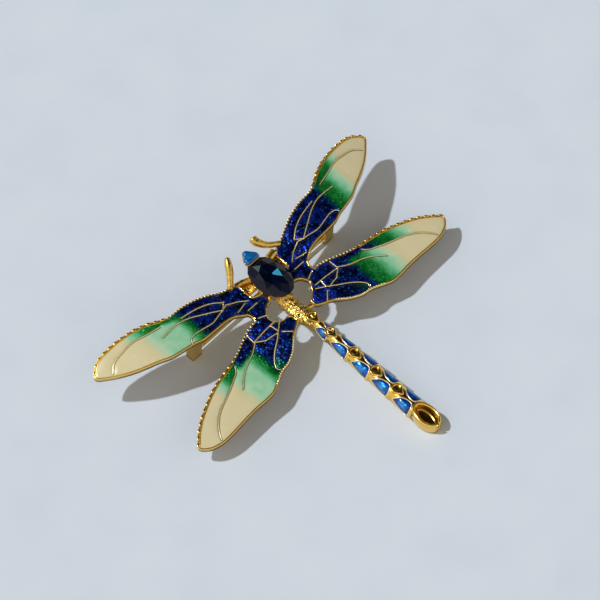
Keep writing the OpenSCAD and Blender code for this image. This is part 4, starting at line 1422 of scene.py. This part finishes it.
# Rings of plate and enamel: how far the outline grows, and height over the plate's top
PLATE_RINGS = [(-0.4, -0.42), (-0.12, -0.4), (0.0, -0.3), (0.02, -0.1), (-0.03, 0.03), (-0.1, 0.06),
               (-0.18, 0.02), (-0.3, -0.05)]
CAP_RINGS = [(-0.3, 0.02), (-0.16, 0.02), (-0.1, 0.12), (-0.13, 0.26), (-0.24, 0.42), (-0.4, 0.52),
             (-0.56, 0.58), (-0.68, 0.6)]


def hull(points):
    """Convex outline of points in a plane."""
    pts = sorted(map(tuple, np.round(points, 6)))

    def half(seq):
        """One side of it, turning left only."""
        out = []
        for p in seq:
            while len(out) > 1 and ((out[-1][0] - out[-2][0]) * (p[1] - out[-2][1])
                                    - (out[-1][1] - out[-2][1]) * (p[0] - out[-2][0])) <= 0:
                out.pop()
            out.append(p)
        return out[:-1]

    return np.array(half(pts) + half(pts[::-1]))


def head_outline(w):
    """Three-cornered outline with round corners, grown by w."""
    rings = [ring((HEAD_TIP[0] + HEAD_TIP[1], 0), HEAD_TIP[1] + w, 24)]
    rings += [ring((HEAD_BASE[0], s * (HEAD_BASE[1] - HEAD_BASE[2])), HEAD_BASE[2] + w, 24)
              for s in (RIGHT, LEFT)]
    return closed_even(hull(np.vstack(rings)), HEAD_N)


def stack(levels):
    """Rings of the head's outline, each at its height over the plate."""
    return [np.column_stack([head_outline(w), np.full(HEAD_N, HEAD_Z - 0.5 + z)]) for w, z in levels]


gold_parts.append(loft(stack(PLATE_RINGS), "head_plate", gold))
# The cap's enamel is painted lighter towards its top, as a highlight
highlight_tones = [0.5 + 0.1 * k for k in range(len(CAP_RINGS)) for _ in range(HEAD_N)] + [0, 1.2]
head_enamel = loft(stack(CAP_RINGS), "head_enamel", enamel_blue, values={"stage": highlight_tones})
print("head", len(head_enamel.data.polygons), "faces of enamel")

# %% [markdown]
# ## Cutting the crystal
# The stone is an oval with a table, a crown of star, main and girdle facets, and a short
# pavilion that the cup hides. A subdivided sphere would look soft here: each facet is one flat
# face with hard edges, so it mirrors one patch of sky. The table is parted into wedges, each with
# its own painted brightness, because through the real one the facets below it are seen.

# %% Crystal
# How much larger the cut stone is than the seat in both directions, and where its middle lies
STONE_GROW = (1.04, 1.09)
STONE_SHIFT = (0.05, 0.15)
# Shares of the size: table, waist of the crown, underside of the girdle, flat below, and the
# small middle of the table; then the heights of crown and pavilion
TABLE = 0.52
WAIST = 0.8
GIRDLE_IN = 0.92
CULET = 0.42
HEART = 0.1
CROWN_H = 1.1
PAVILION_H = 1.2
# Painted brightness of the eight wedges of the table, and of the one star facet, painted bright as
# a reflection of the room
PAINTED_WEDGES = (0.12, 1.0, 0.1, 0.04, 0.2, 0.05, 0.02, 0.16)
PAINTED_MIRROR = 0.6
PAINTED_MIRROR_AT = 4


def stone():
    """The faceted oval, with a painted brightness for each facet."""
    n = len(PAINTED_WEDGES)
    waist_z = CROWN_H * (1 - (WAIST * math.cos(math.pi / n) - TABLE) / (1 - TABLE))

    def level(count, r, z, shift=0.0):
        """Corners at a share of the size and a height over the girdle."""
        a = 2 * math.pi * (np.arange(count) / count + shift)
        return np.column_stack([STONE_SHIFT[0] + STONE_GROW[0] * STONE_L / 2 * r * np.cos(a),
                                STONE_SHIFT[1] + STONE_GROW[1] * STONE_W / 2 * r * np.sin(a),
                                np.full(count, GIRDLE_Z + z)])

    points = np.vstack([level(n, TABLE, CROWN_H), level(n, WAIST, waist_z, 0.5 / n), level(2 * n, 1, 0),
                        level(2 * n, GIRDLE_IN, -GIRDLE_T), level(n, CULET, -PAVILION_H),
                        level(n, HEART, CROWN_H)])
    heart = len(points) - n
    faces, painted_flash = [tuple(range(heart, heart + n))], [0.05]
    for i in range(n):
        faces.append((i, (i + 1) % n, heart + (i + 1) % n, heart + i))
        painted_flash.append(PAINTED_WEDGES[i])
    for i in range(n):
        j, m, m0 = (i + 1) % n, n + i, n + (i + n - 1) % n
        g, g1, g2 = 2 * n + 2 * i, 2 * n + 2 * i + 1, 2 * n + (2 * i + 2) % (2 * n)
        faces += [(i, m, j), (i, m0, g, m), (m, g, g1), (m, g1, g2)]
        painted_flash += [PAINTED_MIRROR if i == PAINTED_MIRROR_AT else 0.06, 0.14, 0.02, 0.08]
    for i in range(2 * n):
        a, b = 2 * n + i, 2 * n + (i + 1) % (2 * n)
        faces.append((a, a + 2 * n, b + 2 * n, b))
        painted_flash.append(0.1)
    for i in range(n):
        c, d = 6 * n + i, 6 * n + (i + 1) % n
        g, g1, g2 = 4 * n + 2 * i, 4 * n + 2 * i + 1, 4 * n + (2 * i + 2) % (2 * n)
        faces += [(g, c, g1), (g1, c, d), (g1, d, g2)]
        painted_flash += [0.1, 0.1, 0.1]
    faces.append(tuple(range(7 * n - 1, 6 * n - 1, -1)))
    painted_flash.append(0.1)
    piece = new_piece("crystal", points, faces, crystal, smooth=False)
    piece.data.attributes.new("painted_flash", "FLOAT", "FACE").data.foreach_set("value", painted_flash)
    return piece


stone_piece = stone()
print("crystal", len(stone_piece.data.polygons), "facets")

# %% [markdown]
# ## Pin
# Behind the forewings lies a plain bar with a pin below it. Only a strip of the bar is seen
# between the wings and the thorax, and it is milled across, so the ribs repeat along it. It
# stands on two feet, and the brooch rests on them and on the end of its tail. The bar could be a
# box with a bevel, but its ends are round, so it is a skin over rings as well.

# %% Bar, stem and feet
# Length and width of the bar, height of its top and its thickness, and the place of the feet
PIN_L = 38
PIN_W = 2.8
BAR_Z = 0.85
BAR_T = 0.9
FOOT_Y = PIN_L / 2 - 1.6
BAR_N = 48
# Rings of the bar as radius of its ends and height over its underside
BAR_RINGS = [(1.0, 0), (1.35, 0), (1.4, 0.06), (1.4, BAR_T - 0.12), (1.34, BAR_T - 0.02), (1.26, BAR_T),
             (0.6, BAR_T)]
# Half length of a foot at its top and its sole, half width, and how much it is waisted
FOOT_TOP = 1.3
FOOT_SOLE = 0.95
FOOT_W = 1.1
FOOT_WAIST = 0.12
STEM_R = 0.45
STEM_Z = 1.3
RIB_R = 0.12
RIB_PITCH = 0.55


def bar():
    """Flat bar with round ends and rounded edges."""
    a = 2 * math.pi * np.arange(BAR_N) / BAR_N
    shift = (PIN_L - PIN_W) / 2 * np.sign(np.sin(a))
    low = BAR_Z - BAR_T - GAP
    rings = [np.column_stack([PIN_X + r * np.cos(a), r * np.sin(a) + shift, np.full(BAR_N, low + z)])
             for r, z in BAR_RINGS]
    return loft(rings, "bar", gold)


def foot(y):
    """Foot from the bar down to the table, with a level sole."""
    top = BAR_Z - BAR_T / 2
    levels = []
    for share in np.linspace(0, 1, 9):
        half = FOOT_TOP + (FOOT_SOLE - FOOT_TOP) * share
        z = top + (-FOOT_DROP - top) * share
        wide = FOOT_W - FOOT_WAIST * math.sin(math.pi * share)
        loop = closed_even(np.array([(-half, -wide), (half, -wide), (half, wide), (-half, wide)]), 32)
        levels.append(np.column_stack([PIN_X + loop[:, 0], y + loop[:, 1],
                                       z + share * loop[:, 0] * math.tan(PITCH)]))
    return loft(levels[::-1], "foot", gold)


stem = [np.array([(PIN_X, y, STEM_Z - FOOT_DROP) for y in np.linspace(-FOOT_Y, FOOT_Y, 20)])]
ribs = [np.array([(PIN_X - 1.2, y, BAR_Z - 0.05), (PIN_X + 1.2, y, BAR_Z - 0.05)])
        for y in np.arange(-16.8, 17, RIB_PITCH)]
pin_parts = [bar(), foot(FOOT_Y), foot(-FOOT_Y), wire("stem", stem, STEM_R, gold, 20),
             wire("ribs", ribs, RIB_R, gold, 8)]
print("pin:", len(ribs), "ribs, feet", 2 * FOOT_Y, "mm apart")

# %% Pads over the bar
# Four short pads, cast with the wings, carry them on the bar. Radius, places and heights
PAD_R = 1.1
PAD_N = 24
PAD_Y = (9, 14)
PAD_Z = (BAR_Z + 0.02, BAR_Z + 0.5, 2.1)
for middle in [(PIN_X, s * y) for s in (RIGHT, LEFT) for y in PAD_Y]:
    loop = ring(middle, PAD_R, PAD_N)
    gold_parts.append(loft([np.column_stack([loop, np.full(PAD_N, z)]) for z in PAD_Z], "pad", gold))
print("pads:", 2 * len(PAD_Y))

# %% [markdown]
# ## Joining and hanging on the frame
# All gold that was cast or soldered together is one piece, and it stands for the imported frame.
# Each enamel area, the crystal and the pin stay pieces of their own, as on a jeweller's bench.
# Parenting the pieces to an empty would look the same here, but this way each one replaces the
# plain solid whose place it takes.

# %% Pieces
casting = join("gold_casting", gold_parts)
pin = join("pin_back_plate", pin_parts)
for piece, node, slot in ((casting, "frame", "gold_plate"), (pin, "pin_back", "gold_pin"),
                          (tail_enamel, "enamel_tail", "enamel_body"),
                          (head_enamel, "enamel_head", "enamel_body"),
                          (stone_piece, "oval_stone", "crystal")):
    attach(piece, "root")
    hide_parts(node)
total = 0
for piece in [o for o in bpy.data.objects if o.get("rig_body")]:
    count = sum(len(p.vertices) - 2 for p in piece.data.polygons)
    total += count
    print(piece.name, count, "triangles")
print("in all", total)

# %% Sizes
low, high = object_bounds()
sizes = {"cad": [list(cad_low), list(cad_high)], "visual": [list(low), list(high)]}
for i, axis in enumerate("xyz"):
    print(axis, "CAD", round((cad_high[i] - cad_low[i]) / MM, 2), "visual", round((high[i] - low[i]) / MM, 2))
